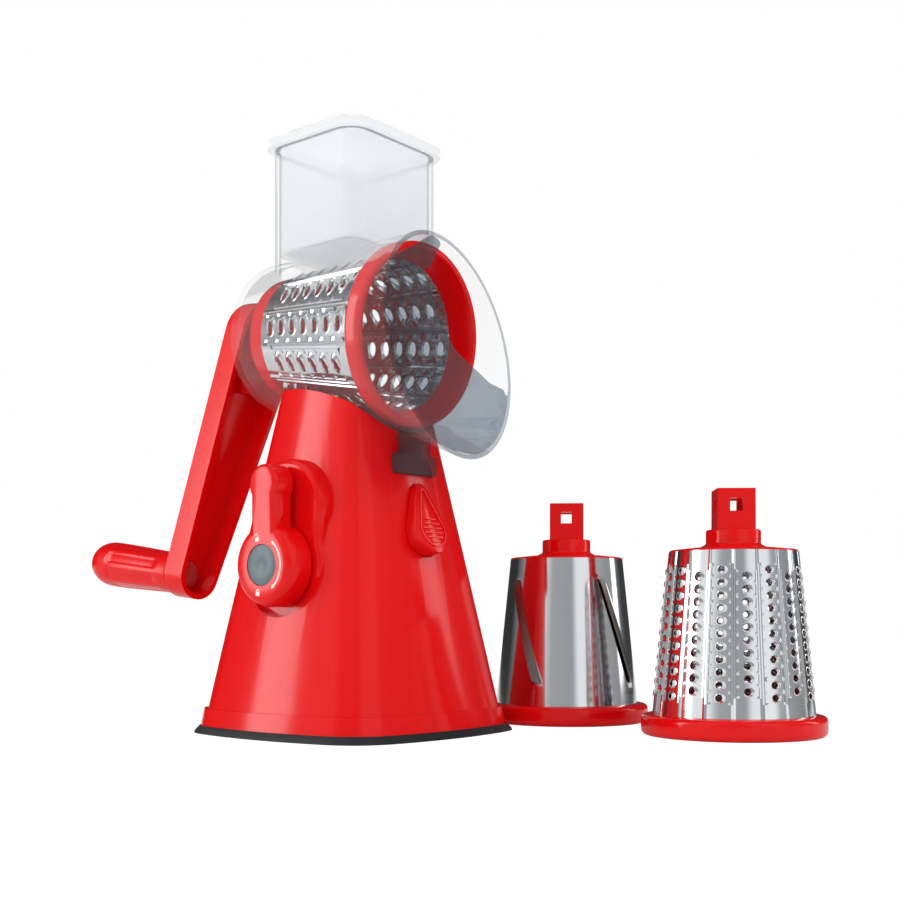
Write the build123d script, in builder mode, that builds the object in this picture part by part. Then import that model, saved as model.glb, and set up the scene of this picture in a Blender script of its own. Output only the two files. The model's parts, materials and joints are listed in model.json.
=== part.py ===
from build123d import *
import os
from math import atan, cos, degrees, radians, sin, sqrt

os.makedirs("parts", exist_ok=True)

# A hand cranked drum shredder on a suction base, with two spare drums beside it.
# Millimetres, +Z up. The origin is the centre of the suction foot's underside.
# The drum's mouth faces -Y, the suction lever is on the -X side, the crank is at +Y.

# ---------------------------------------------------------------- tower
foot_half = 62.9            # half width of the rubber foot where it meets the table
foot_flare = 2.3            # how far the foot's rim leans in towards its top
foot_height = 3.3
band_height = 7.7           # red skirt band above the foot
band_low_half = 60.2
band_high_half = 58.9
tower_half_low = 57.4       # half width of the tower where it leaves the band
tower_slope = 0.2006        # how much each side leans in per unit of height
tower_wall = 2.5
corner_share = 0.418        # corner radius over half width
bow_share = 3.0             # radius of the slightly bowed sides over half width
side_facets = 4             # flat facets along each bowed side
corner_facets = 4           # and round each corner
saddle_gap = 0.2            # between the tower's saddle and the clear housing

# ---------------------------------------------------------------- drum seat
drum_tilt = 6.4             # the drum's axis falls this much towards its mouth
mouth_y = -40.5             # centre of the drum's mouth
mouth_z = 176.8

# ---------------------------------------------------------------- drums
coarse_sides = 24           # flat facets round the shredding drum, two to a row of holes
spare_sides = 36            # and round each spare drum
flange_radius = 40.7        # red ring at the mouth
flange_length = 9.5
drum_length = 81.0          # mouth plane to the small end of the steel
cone_radius_large = 35.3
cone_radius_small = 28.0
sheet = 0.6                 # steel sheet thickness
ring_throat = 37.3          # radius of the ring's mouth opening
ring_edge = 1.4             # its outer edges are cut back this much
sleeve_length = 2.5         # the ring's inner sleeve inside the steel
sleeve_wall = 0.9
seat_gap = 0.05             # glued and snapped seats on the drums
cap_skirt = 5.0             # the cap's skirt inside the steel
cap_wall = 2.2
cap_brim = 0.8
cap_dome = 1.6
coarse_band = 8.0           # the shredding drum's cap shows as a wide red band
collar_radius = 12.0
collar_length = 7.5
shaft_side = 16.6           # square drive shaft
shaft_length = 18.0
shaft_bore = 5.0            # radius of the hollow in the shaft
window_side = 5.6           # snap windows in the shaft's four faces
window_from_end = 7.2

coarse_rows = 12            # rows of long holes around the shredding drum
coarse_count = 7            # holes in the longer rows
coarse_pitch = 8.5
coarse_hole_width = 5.0
coarse_hole_length = 7.4
fine_columns = 18           # columns of round holes around the grating drum
fine_count = 11
fine_pitch = 5.42
fine_hole_radius = 2.0
slicer_slots = 4
slot_length = 50.0
slot_width = 3.4
slot_lean = 18.5            # degrees off the drum's axis
blade_height = 1.4
blade_width = 1.0

# ---------------------------------------------------------------- clear feed housing
housing_wall = 2.0
housing_sides = 36          # flat facets round the cone and the lip
flange_room = 1.0           # running gap around the red ring
cap_room = 5.1              # gap around the drum's small end
end_room = 1.2              # gap between the cap and the rear wall
rear_wall = 2.2
rear_boss_length = 4.0
rear_boss_wall = 2.4
collar_fit = 0.06           # running clearance of the collar in the rear wall
chute_width = 60.8
chute_depth = 55.6
chute_corner = 11.0
chute_top = 265.5
chute_root = 8.0            # the chute starts inside the cone, so that it joins it all round
ledge_low = 197.5           # moulded ledge around the foot of the chute
ledge_high = 202.5
ledge_step = 2.0
lip_y = -57.0               # centre of the flared lip's oval rim
lip_z = 170.7
lip_half_width = 42.3
lip_half_height = 51.3
lip_lean = 10.2             # the rim faces this much upwards

# ---------------------------------------------------------------- tongue of the housing
tongue_y = -38.5            # front of the tongue
tongue_thick = 4.0
tongue_low = 115.5
tongue_high = 133.9
bar_half_width = 13.0
bar_height = 8.5
stem_half_width = 8.7
tongue_gap = 0.3
notch_half_width = 4.0      # notch behind the bar for the latch tooth
notch_height = 4.0
notch_depth = 2.0

# ---------------------------------------------------------------- food pusher
pusher_gap = 0.6
pusher_wall = 2.0
flange_overhang_x = 2.5
flange_overhang_y = 2.55
pusher_flange_thick = 4.5
pusher_corner = 12.0
tooth_room = 3.5            # room for the drum's raised teeth

# ---------------------------------------------------------------- latch button
button_z = 89.5             # centre of the round end
button_radius = 10.8
button_tip_radius = 4.3
button_rise = 17.8          # round end to tip, along the wall
button_gap = 0.4
button_proud_low = 7.2      # the front face stands out more at the round end
button_proud_high = 2.4
button_flange = 1.2         # lip behind the wall that keeps the button in
button_flange_thick = 1.6
button_back_gap = 1.0       # play behind the bowed wall
tooth_half_width = 3.5
tooth_height = 2.8
tooth_above = 0.45          # gap over the tooth, since it sinks as it is pressed in
tooth_reach = 1.5           # how far the tooth enters the tongue's notch
tooth_arm = 2.0
arm_low = 7.0               # the tooth's arm leaves the button's back between these two heights
arm_high = 16.0
arm_root = 4.0              # and starts this far inside it

# ---------------------------------------------------------------- suction lever and its lift
lever_z = 74.5              # height of the lever's shaft
pad_x = -44.3               # upright flat that the lever turns against
pad_radius = 22.5
pad_tip_radius = 21.5
pad_rise = 25.5
pad_waist = 20.5
pad_sides = 32              # flat facets round each of the flat's two circles
pad_reach = 16.0            # the flat reaches through the leaning wall by this much
pad_gap = 0.5
hub_radius = 18.0           # the hub's foot
hub_face_radius = 14.8
hub_shoulder = 5.5          # depth of the rounded shoulder between them
hub_middle_radius = 17.3    # where the shoulder's two slopes meet
hub_middle_depth = 2.2
lever_face_x = -58.0
handle_back_x = -47.3
stem_half = 7.0
knob_radius = 8.5
knob_rise = 35.0
lever_chamfer = 1.8
cap_radius = 8.9
cap_depth = 2.2
cap_gap = 0.1
screw_seat = 2.0            # web in the hub under the lever screw's head
shaft_side_lever = 7.0      # square bar that carries the cam
journal_radius = 5.0
journal_length = 6.0
shaft_fit = 0.06
tail_radius = 3.4           # far end of the shaft
tail_length = 5.5
boss_radius = 7.5
boss_inner_x = 33.0
boss_depth = 6.0
bush_wall = 2.0
bush_flange = 1.5
bush_flange_wall = 2.0
cam_radius = 8.5
cam_half_width = 5.0
cam_bore_gap = 0.1
cup_lift = 4.0              # lift of the cup's middle over the lever's quarter turn
yoke_gap = 0.4
yoke_wall = 4.0
yoke_half_thick = 4.5
yoke_stem_radius = 5.0
dome_radius = 38.0          # raised middle of the base plate, room for the cup to lift
dome_room = 8.2
plate_thick = 3.0
plate_gap = 0.5
guide_height = 12.0
guide_wall = 2.4
membrane_radius = 37.0
membrane_gap = 0.3
cup_boss_radius = 13.0
cup_boss_top = 6.5
stud_plate_radius = 9.0
stud_plate_low = 2.8
stud_plate_thick = 1.6
stud_radius = 2.5
stud_length = 14.0
stud_room = 1.0
post_reach = 39.6           # screw posts stand this far out along X and Y
post_radius = 4.5
post_top = 30.0
screw_radius = 1.5
screw_head_radius = 3.0
screw_head = 1.6
screw_length = 12.0
screw_gap = 0.05
small_sides = 12            # flat facets round screws, posts and pins
disc_sides = 36             # and round the base plate's dome and the rubber disc

# ---------------------------------------------------------------- crank
arm_front = 98.0            # mouth plane to the open edge of the crank arm
arm_depth = 14.0
arm_wall = 2.3
arm_sides = 32              # flat facets round the arm's two ends
arm_edge = 1.2              # its outer edges are cut back this much
crank_reach = 121.5
crank_lean = 16.0           # the arm hangs this far off straight down, towards -X
hub_end_radius = 18.3
grip_end_radius = 11.2
socket_gap = 0.1
socket_wall = 2.6
socket_front = 1.0          # gap between the collar and the crank's socket
nib_gap = 0.4               # the socket's nibs in the shaft's windows
nib_depth = 1.6
boss_side = 7.0             # small square boss in the arm's channel
boss_height = 5.0
boss_share = 0.2            # how far along the arm it stands
grip_gap = 0.5
grip_length = 50.0
grip_radius = 11.2
grip_flutes = 8
flute_radius = 2.0
grip_sides = 24             # flat facets round the grip
flute_out = 1.1             # the flutes' centres lie this far outside the grip's radius
grip_end_chamfer = 1.2
dome_length = 9.0
dome_steps = [(0.95, 0.3), (0.8, 0.65), (0.5, 0.93), (0.25, 1)]   # shares of radius and dome length
axle_radius = 4.0
axle_fit = 0.06
axle_neck = 0.6             # depth of the groove for the clip
axle_head_radius = 6.5
axle_head = 2.0
clip_radius = 6.5
clip_thick = 1.2
clip_gap = 0.2
axle_tail = 1.2
recess_radius = 7.5
recess_depth = 5.0
plug_length = 1.5
plug_gap = 0.1

# ---------------------------------------------------------------- spare drums on the table
slicer_x = 106.5
slicer_y = -45.5
slicer_turn = 35.0
fine_x = 90.0
fine_y = -146.0
fine_turn = 37.0

# ---------------------------------------------------------------- worked out from these
band_top = foot_height + band_height
tilt = radians(drum_tilt)
backward = Vector(0, cos(tilt), sin(tilt))
drum_seat = Plane(origin=(0, mouth_y, mouth_z), x_dir=(1, 0, 0), z_dir=backward)
cone_slope = (cone_radius_large - cone_radius_small) / (drum_length - flange_length)
housing_front = flange_radius + flange_room + housing_wall
housing_inner_length = drum_length + cap_brim + cap_dome + end_room
housing_length = housing_inner_length + rear_wall
housing_rear = cone_radius_small + cap_room + housing_wall
housing_slope = (housing_front - housing_rear) / housing_length
shaft_start = drum_length + cap_brim + cap_dome + collar_length
lean = radians(crank_lean)
grip_x = -crank_reach * sin(lean)
grip_down = -crank_reach * cos(lean)
arm_back = arm_front + arm_depth
wall_lean = degrees(atan(tower_slope))


def tower_half(z):
    # half width of the tower's outside at height z
    return tower_half_low - (z - band_top) * tower_slope


def bowed_square(half):
    # a square with rounded corners and slightly bowed sides, drawn as short flat facets
    corner = corner_share * half
    bow = bow_share * half
    side_centre = half - bow
    # the corner arc's centre lies on the diagonal, tangent to both side arcs
    middle = (side_centre + sqrt(2 * (bow - corner) ** 2 - side_centre**2)) / 2
    spread = degrees(atan(middle / (middle - side_centre)))
    points = []
    for quarter in range(4):
        turn = 90 * quarter
        for step in range(side_facets):
            angle = spread * (2 * step / side_facets - 1)
            side = Vector(side_centre, 0) + Vector(bow, 0).rotate(Axis.Z, angle)
            points.append(side.rotate(Axis.Z, turn))
        for step in range(corner_facets):
            angle = spread + (90 - 2 * spread) * step / corner_facets
            round_corner = Vector(middle, middle) + Vector(corner, 0).rotate(Axis.Z, angle)
            points.append(round_corner.rotate(Axis.Z, turn))
    with BuildSketch() as outline:
        with BuildLine():
            Polyline(*points, close=True)
        make_face()
    return outline.sketch


def teardrop(large, small, rise, extra=0.0):
    # two circles, one above the other, with the tangent lines between them
    with BuildSketch() as outline:
        Circle(large + extra)
        with Locations((0, rise)):
            Circle(small + extra)
        make_hull()
    return outline.sketch


def facet_ring(seat, radius, distance, sides, squash=1.0):
    # the corners of a flat-sided ring round the seat's axis, a facet's middle on the x axis
    corners = []
    for step in range(sides):
        angle = radians(360 * (step + 0.5) / sides)
        corners.append(seat.from_local_coords((radius * cos(angle), squash * radius * sin(angle), distance)))
    return corners


def strip(low, high):
    # flat facets between two rings of corners
    faces = []
    for step in range(len(low)):
        after = (step + 1) % len(low)
        faces.append(Face(Wire.make_polygon([low[step], low[after], high[after], high[step]])))
    return faces


def turned(seat, points, sides=24):
    # a solid turned about the seat's axis in flat facets, from a closed outline;
    # each point of the outline is a radius and a distance along the axis
    faces = []
    for start, end in zip(points, points[1:] + points[:1]):
        ends = [spot for spot in (start, end) if spot[0] > 0]
        rings = [facet_ring(seat, radius, distance, sides) for radius, distance in ends]
        if start[1] == end[1] and rings:
            # a flat disc or washer
            rings.sort(key=lambda ring: -(ring[0] - seat.origin).length)
            wires = [Wire.make_polygon(ring) for ring in rings]
            faces.append(Face(wires[0], wires[1:]))
        elif len(rings) == 2:
            faces += strip(*rings)
    with BuildPart() as piece:
        add(Solid(Shell(faces)))
    return piece.part


def cone_radius(distance):
    # outer radius of the steel at a distance from the mouth plane
    return cone_radius_large - (distance - flange_length) * cone_slope


def housing_radius(distance):
    # outer radius of the clear housing at a distance from the mouth plane
    return housing_front - distance * housing_slope


# ================================================================ drums
def drum_ring(seat, sides):
    # moulded ring at the mouth, with a sleeve that centres the steel
    sleeve_end = flange_length + sleeve_length
    at_shoulder = cone_radius(flange_length) - sheet - seat_gap
    at_end = cone_radius(sleeve_end) - sheet - seat_gap
    return turned(seat, [
        (ring_throat, 0),
        (flange_radius - ring_edge, 0),
        (flange_radius, ring_edge),
        (flange_radius, flange_length - ring_edge),
        (flange_radius - ring_edge, flange_length),
        (at_shoulder, flange_length),
        (at_end, sleeve_end),
        (at_end - sleeve_wall, sleeve_end),
    ], sides)


def drum_cap(seat, band, sides):
    # moulded end of the drum: a skirt in the steel, a brim, a dome, the collar and the shaft
    steel_end = drum_length - band
    skirt_low = steel_end - cap_skirt
    skirt_outer = cone_radius(steel_end) - sheet - seat_gap
    skirt_outer_low = cone_radius(skirt_low) - sheet - seat_gap
    top = drum_length + cap_brim
    shoulder = top + cap_dome
    with BuildPart() as cap:
        add(turned(seat, [
            (0, drum_length - cap_wall),
            (skirt_outer - cap_wall, drum_length - cap_wall),
            (skirt_outer_low - cap_wall, skirt_low),
            (skirt_outer_low, skirt_low),
            (skirt_outer, steel_end),
            (cone_radius(steel_end), steel_end),
            (cone_radius(top), top),
            (collar_radius, shoulder),
            (collar_radius, shaft_start),
            (0, shaft_start),
        ], sides))
        # square shaft, hollow, with a snap window in each face
        with BuildSketch(seat.offset(shaft_start)):
            Rectangle(shaft_side, shaft_side)
        extrude(amount=shaft_length)
        with BuildSketch(seat.offset(shaft_start + shaft_length)):
            RegularPolygon(shaft_bore, 8, major_radius=False)
        extrude(amount=-(shaft_length + collar_length - cap_wall), mode=Mode.SUBTRACT)
        window_at = shaft_start + shaft_length - window_from_end
        for turn in (0, 90):
            cross = Plane(
                origin=seat.origin + seat.z_dir * window_at,
                x_dir=seat.z_dir,
                z_dir=seat.x_dir.rotate(Axis((0, 0, 0), seat.z_dir), turn),
            )
            with BuildSketch(cross):
                Rectangle(window_side, window_side)
            extrude(amount=shaft_side, both=True, mode=Mode.SUBTRACT)
    return cap.part


def steel_cone(seat, steel_end, sides, grow=0.0):
    # the rolled sheet, optionally with its outside grown to carry raised edges
    return turned(seat, [
        (cone_radius(flange_length) - sheet, flange_length),
        (cone_radius(flange_length) + grow, flange_length),
        (cone_radius(steel_end) + grow, steel_end),
        (cone_radius(steel_end) - sheet, steel_end),
    ], sides)


def cone_tangent(seat, angle, distance):
    # the plane that touches the steel at one angle: x runs round the cone, y towards its small end
    out = seat.x_dir.rotate(Axis((0, 0, 0), seat.z_dir), angle)
    around = seat.z_dir.cross(out)
    normal = (out + seat.z_dir * cone_slope).normalized()
    spot = seat.origin + out * cone_radius(distance) + seat.z_dir * distance
    return Plane(origin=spot, x_dir=around, z_dir=normal)


def around_cone(seat, count, distance):
    # evenly spaced tangent planes around the steel
    return [cone_tangent(seat, 360 / count * step, distance) for step in range(count)]


def coarse_cone(seat):
    # long six sided holes in rows, alternate rows shifted by half a pitch
    steel_end = drum_length - coarse_band
    planes = around_cone(seat, coarse_rows, (flange_length + steel_end) / 2)
    with BuildPart() as cone:
        add(steel_cone(seat, steel_end, coarse_sides))
        for first in (0, 1):
            with BuildSketch(*planes[first::2]):
                with GridLocations(0, coarse_pitch, 1, coarse_count - first):
                    Polygon(*hexagon(coarse_hole_length / 2, coarse_hole_width / 2))
        extrude(amount=3 * sheet + 1, both=True, mode=Mode.SUBTRACT)
    return cone.part


def hexagon(half_length, half_width):
    # a long hexagon, points at its two ends
    flat = half_length * 0.45
    return [
        (half_length, 0),
        (flat, half_width),
        (-flat, half_width),
        (-half_length, 0),
        (-flat, -half_width),
        (flat, -half_width),
    ]


def fine_cone(seat):
    # small holes in columns, alternate columns one hole shorter
    planes = around_cone(seat, fine_columns, (flange_length + drum_length) / 2)
    with BuildPart() as cone:
        add(steel_cone(seat, drum_length, spare_sides))
        for first in (0, 1):
            with BuildSketch(*planes[first::2]):
                with GridLocations(0, fine_pitch, 1, fine_count - first):
                    RegularPolygon(fine_hole_radius, 4)
        extrude(amount=3 * sheet, both=True, mode=Mode.SUBTRACT)
    return cone.part


def slicer_cone(seat):
    # slanted slots, each with one raised cutting edge that follows the cone
    planes = around_cone(seat, slicer_slots, (flange_length + drum_length) / 2)
    with BuildPart(mode=Mode.PRIVATE) as blades:
        with BuildSketch(*planes):
            with Locations(Location((0, 0, 0), (0, 0, slot_lean))):
                with Locations((-(slot_width + blade_width) / 2, 0)):
                    Rectangle(blade_width, slot_length)
        extrude(amount=3 * blade_height, both=True)
        add(steel_cone(seat, drum_length, spare_sides, grow=blade_height), mode=Mode.INTERSECT)
    with BuildPart() as cone:
        add(steel_cone(seat, drum_length, spare_sides))
        add(blades.part)
        with BuildSketch(*planes):
            with Locations(Location((0, 0, 0), (0, 0, slot_lean))):
                Rectangle(slot_width, slot_length)
        extrude(amount=3 * blade_height, both=True, mode=Mode.SUBTRACT)
    return cone.part


def write(part, label):
    part.label = label
    export_step(part, f"parts/{label}.step")


slicer_seat = Plane(origin=(slicer_x, slicer_y, 0), x_dir=Vector(1, 0, 0).rotate(Axis.Z, slicer_turn))
fine_seat = Plane(origin=(fine_x, fine_y, 0), x_dir=Vector(1, 0, 0).rotate(Axis.Z, fine_turn))

write(drum_ring(drum_seat, coarse_sides), "coarse_drum_ring")
write(drum_cap(drum_seat, coarse_band, coarse_sides), "coarse_drum_cap")
write(coarse_cone(drum_seat), "coarse_drum_cone")
write(drum_ring(slicer_seat, spare_sides), "slicing_drum_ring")
write(drum_cap(slicer_seat, 0, spare_sides), "slicing_drum_cap")
write(slicer_cone(slicer_seat), "slicing_drum_cone")
write(drum_ring(fine_seat, spare_sides), "fine_drum_ring")
write(drum_cap(fine_seat, 0, spare_sides), "fine_drum_cap")
write(fine_cone(fine_seat), "fine_drum_cone")

# ================================================================ clear feed housing
lip_plane = Plane(
    origin=(0, lip_y, lip_z),
    x_dir=(1, 0, 0),
    z_dir=(0, -cos(radians(lip_lean)), sin(radians(lip_lean))),
)
chute_start = mouth_z + chute_root


def housing_form(inset, length):
    # the cone and its flared lip, as one solid, drawn in by a wall's thickness
    rear = facet_ring(drum_seat, housing_radius(length) - inset, length, housing_sides)
    front = facet_ring(drum_seat, housing_front - inset, 0, housing_sides)
    lip_squash = (lip_half_height - inset) / (lip_half_width - inset)
    rim = facet_ring(lip_plane, lip_half_width - inset, 0, housing_sides, -lip_squash)
    # the lip isn't round, so each of its facets is split in two
    flare = []
    for step in range(housing_sides):
        after = (step + 1) % housing_sides
        flare.append(Face(Wire.make_polygon([front[step], front[after], rim[step]])))
        flare.append(Face(Wire.make_polygon([front[after], rim[after], rim[step]])))
    ends = [Face(Wire.make_polygon(rear)), Face(Wire.make_polygon(rim))]
    with BuildPart() as form:
        add(Solid(Shell(strip(rear, front) + flare + ends)))
    return form.part


with BuildPart() as feed_housing:
    add(housing_form(0, housing_length))
    # hopper chute and the ledge at its foot
    with BuildSketch(Plane.XY.offset(chute_start)):
        RectangleRounded(chute_width, chute_depth, chute_corner)
    extrude(amount=chute_top - chute_start)
    with BuildSketch(Plane.XY.offset(ledge_low)):
        RectangleRounded(chute_width + 2 * ledge_step, chute_depth + 2 * ledge_step, chute_corner)
    extrude(amount=ledge_high - ledge_low)
    # rear boss that carries the drum's collar
    with BuildSketch(drum_seat.offset(housing_length)):
        RegularPolygon(collar_radius + rear_boss_wall, housing_sides)
    extrude(amount=rear_boss_length)
    # T shaped tongue that hangs in front of the tower
    with BuildSketch(Plane.XZ.offset(-tongue_y)):
        with Locations((0, tongue_low)):
            Rectangle(2 * bar_half_width, bar_height, align=(Align.CENTER, Align.MIN))
            Rectangle(2 * stem_half_width, tongue_high - tongue_low, align=(Align.CENTER, Align.MIN))
    extrude(amount=-tongue_thick)
    # hollow inside
    add(housing_form(housing_wall, housing_inner_length), mode=Mode.SUBTRACT)
    with BuildSketch(Plane.XY.offset(chute_start)):
        RectangleRounded(
            chute_width - 2 * housing_wall, chute_depth - 2 * housing_wall, chute_corner - housing_wall)
    extrude(amount=chute_top - chute_start, mode=Mode.SUBTRACT)
    with BuildSketch(drum_seat.offset(housing_inner_length)):
        Circle(collar_radius + collar_fit)
    extrude(amount=rear_wall + rear_boss_length, mode=Mode.SUBTRACT)
    # notch behind the tongue's bar
    with BuildSketch(Plane.XZ.offset(-(tongue_y + tongue_thick))):
        with Locations((0, tongue_low + bar_height / 2)):
            Rectangle(2 * notch_half_width, notch_height)
    extrude(amount=notch_depth, mode=Mode.SUBTRACT)
write(feed_housing.part, "feed_housing")

# ================================================================ tower
pad_plane = Plane(origin=(pad_x, 0, lever_z), x_dir=(0, -1, 0), z_dir=(-1, 0, 0))
button_face = Plane(
    origin=(0, -tower_half(button_z), button_z),
    x_dir=(1, 0, 0),
    z_dir=(0, -cos(radians(wall_lean)), sin(radians(wall_lean))),
)
loft_top = mouth_z
pocket_back = tongue_y + tongue_thick + tongue_gap
bush_radius = journal_radius + shaft_fit + bush_wall
posts = [(x, y) for x in (-post_reach, post_reach) for y in (-post_reach, post_reach)]


def keyhole(extra=0.0):
    # two overlapping circles with a slight waist between them
    with BuildSketch() as outline:
        RegularPolygon(pad_radius + extra, pad_sides)
        with Locations((0, pad_rise)):
            RegularPolygon(pad_tip_radius + extra, pad_sides)
        with Locations((0, pad_rise / 2)):
            Rectangle(2 * (pad_waist + extra), pad_rise)
    return outline.sketch


def around_housing(extra):
    # the housing's cone, grown and run on past both sides of the tower
    ahead = -housing_length / 2
    behind = 1.5 * housing_length
    return turned(drum_seat, [
        (0, ahead),
        (housing_radius(ahead) + extra, ahead),
        (housing_radius(behind) + extra, behind),
        (0, behind),
    ], housing_sides)


def button_outline(extra=0.0):
    return teardrop(button_radius, button_tip_radius, button_rise, extra)


with BuildPart() as tower_cavity:
    for z in (foot_height, loft_top):
        with BuildSketch(Plane.XY.offset(z)):
            add(bowed_square(tower_half(z) - tower_wall))
    loft(ruled=True)
    # hollow behind the raised part of the lever's flat, and a floor and rim round its sunk part
    with BuildSketch(pad_plane):
        add(keyhole(-tower_wall))
    extrude(amount=-3 * tower_wall)
    with BuildSketch(pad_plane.offset(-tower_wall)):
        add(keyhole(tower_wall))
    extrude(amount=6 * tower_wall, mode=Mode.SUBTRACT)
    # thick wall behind the tongue
    with BuildSketch(Plane.XZ.offset(-(pocket_back + tower_wall))):
        with Locations((0, tongue_low - tongue_gap - tower_wall)):
            Rectangle(
                2 * (bar_half_width + tongue_gap + tower_wall), tongue_high - tongue_low + 2 * tower_wall,
                align=(Align.CENTER, Align.MIN))
    extrude(amount=4 * tower_wall, mode=Mode.SUBTRACT)
    # roof that follows the housing
    add(around_housing(tower_wall), mode=Mode.SUBTRACT)

with BuildPart() as stand_shell:
    with BuildSketch(Plane.XY.offset(foot_height)):
        add(bowed_square(band_low_half))
    with BuildSketch(Plane.XY.offset(band_top)):
        add(bowed_square(band_high_half))
    loft(ruled=True)
    for z in (band_top, loft_top):
        with BuildSketch(Plane.XY.offset(z)):
            add(bowed_square(tower_half(z)))
    loft(ruled=True)
    # upright flat for the lever: proud of the leaning wall above, let into it below
    with BuildSketch(pad_plane):
        add(keyhole())
    extrude(amount=-pad_reach)
    with BuildSketch(pad_plane):
        add(keyhole())
    extrude(amount=pad_reach, mode=Mode.SUBTRACT)
    add(tower_cavity.part, mode=Mode.SUBTRACT)
    # saddle for the clear housing
    add(around_housing(saddle_gap), mode=Mode.SUBTRACT)
    # T shaped pocket and the window for the latch tooth
    with BuildSketch(Plane.XZ.offset(-pocket_back)):
        with Locations((0, tongue_low - tongue_gap)):
            Rectangle(
                2 * (bar_half_width + tongue_gap), bar_height + 2 * tongue_gap, align=(Align.CENTER, Align.MIN))
            Rectangle(
                2 * (stem_half_width + tongue_gap), tongue_high - tongue_low + 4, align=(Align.CENTER, Align.MIN))
    extrude(amount=pad_reach, mode=Mode.SUBTRACT)
    with BuildSketch(Plane.XZ.offset(-pocket_back)):
        with Locations((0, tongue_low + bar_height / 2)):
            Rectangle(2 * notch_half_width, notch_height)
    extrude(amount=-2 * tower_wall, mode=Mode.SUBTRACT)
    # teardrop window for the latch button
    with BuildSketch(button_face):
        add(button_outline(button_gap))
    extrude(amount=3 * tower_wall, both=True, mode=Mode.SUBTRACT)
    # posts for the base screws, ending in the corners of the wall
    with BuildSketch(Plane.XY.offset(foot_height + plate_thick)):
        with Locations(*posts):
            RegularPolygon(post_radius, small_sides)
    extrude(amount=post_top - foot_height - plate_thick)
    with BuildSketch(Plane.XY.offset(foot_height)):
        with Locations(*posts):
            RegularPolygon(screw_radius, small_sides)
    extrude(amount=plate_thick + screw_length, mode=Mode.SUBTRACT)
    # blind bearing boss on the far wall for the lever's shaft
    with BuildSketch(Plane(origin=(boss_inner_x, 0, lever_z), x_dir=(0, 1, 0), z_dir=(1, 0, 0))):
        Circle(boss_radius)
    extrude(amount=tower_half(lever_z + boss_radius) - boss_inner_x - tower_wall / 2)
    with BuildSketch(Plane(origin=(boss_inner_x, 0, lever_z), x_dir=(0, 1, 0), z_dir=(1, 0, 0))):
        Circle(tail_radius + shaft_fit)
    extrude(amount=boss_depth, mode=Mode.SUBTRACT)
    # hole for the lever's bushing
    with BuildSketch(pad_plane):
        Circle(bush_radius)
    extrude(amount=-2 * tower_wall, mode=Mode.SUBTRACT)
write(stand_shell.part, "stand_shell")

# ---------------------------------------------------------------- base plate and its screws
plate_half = tower_half_low - tower_wall - plate_gap
dome_ceiling = foot_height + dome_room
with BuildPart() as base_plate:
    with BuildSketch(Plane.XY.offset(foot_height)):
        add(bowed_square(plate_half))
    extrude(amount=plate_thick)
    # raised middle and the guide for the yoke's stem
    with BuildSketch(Plane.XY.offset(foot_height)):
        RegularPolygon(dome_radius + plate_thick, disc_sides)
    extrude(amount=dome_room + plate_thick)
    with BuildSketch(Plane.XY.offset(dome_ceiling)):
        Circle(yoke_stem_radius + shaft_fit + guide_wall)
    extrude(amount=plate_thick + guide_height)
    with BuildSketch(Plane.XY.offset(foot_height)):
        RegularPolygon(dome_radius, disc_sides)
    extrude(amount=dome_room, mode=Mode.SUBTRACT)
    with BuildSketch(Plane.XY.offset(foot_height)):
        Circle(yoke_stem_radius + shaft_fit)
    extrude(amount=dome_room + plate_thick + guide_height, mode=Mode.SUBTRACT)
    # sunk holes for the screws
    with BuildSketch(Plane.XY.offset(foot_height)):
        with Locations(*posts):
            RegularPolygon(screw_radius + screw_gap, small_sides)
    extrude(amount=plate_thick, mode=Mode.SUBTRACT)
    with BuildSketch(Plane.XY.offset(foot_height)):
        with Locations(*posts):
            RegularPolygon(screw_head_radius + screw_gap, small_sides)
    extrude(amount=screw_head, mode=Mode.SUBTRACT)
write(base_plate.part, "base_plate")

with BuildPart() as base_screws:
    with BuildSketch(Plane.XY.offset(foot_height)):
        with Locations(*posts):
            RegularPolygon(screw_head_radius, small_sides)
    extrude(amount=screw_head)
    with BuildSketch(Plane.XY.offset(foot_height + screw_head)):
        with Locations(*posts):
            RegularPolygon(screw_radius, small_sides)
    extrude(amount=screw_length)
write(base_screws.part, "base_screws")

# ---------------------------------------------------------------- rubber foot
with BuildPart() as suction_foot:
    with BuildSketch(Plane.XY):
        add(bowed_square(foot_half))
    with BuildSketch(Plane.XY.offset(foot_height)):
        add(bowed_square(foot_half - foot_flare))
    loft(ruled=True)
    with BuildSketch(Plane.XY):
        RegularPolygon(membrane_radius + membrane_gap, disc_sides)
    extrude(amount=foot_height, mode=Mode.SUBTRACT)
write(suction_foot.part, "suction_foot")

upright = Plane.XY
stud_plate_high = stud_plate_low + stud_plate_thick
write(turned(upright, [
    (0, 0),
    (membrane_radius, 0),
    (membrane_radius, foot_height),
    (cup_boss_radius, foot_height),
    (cup_boss_radius, cup_boss_top),
    (stud_radius + screw_gap, cup_boss_top),
    (stud_radius + screw_gap, stud_plate_high + screw_gap),
    (stud_plate_radius + screw_gap, stud_plate_high + screw_gap),
    (stud_plate_radius + screw_gap, stud_plate_low - screw_gap),
    (0, stud_plate_low - screw_gap),
], disc_sides), "suction_membrane")
write(turned(upright, [
    (0, stud_plate_low),
    (stud_plate_radius, stud_plate_low),
    (stud_plate_radius, stud_plate_high),
    (stud_radius, stud_plate_high),
    (stud_radius, stud_plate_low + stud_length),
    (0, stud_plate_low + stud_length),
]), "cup_stud")

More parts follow.
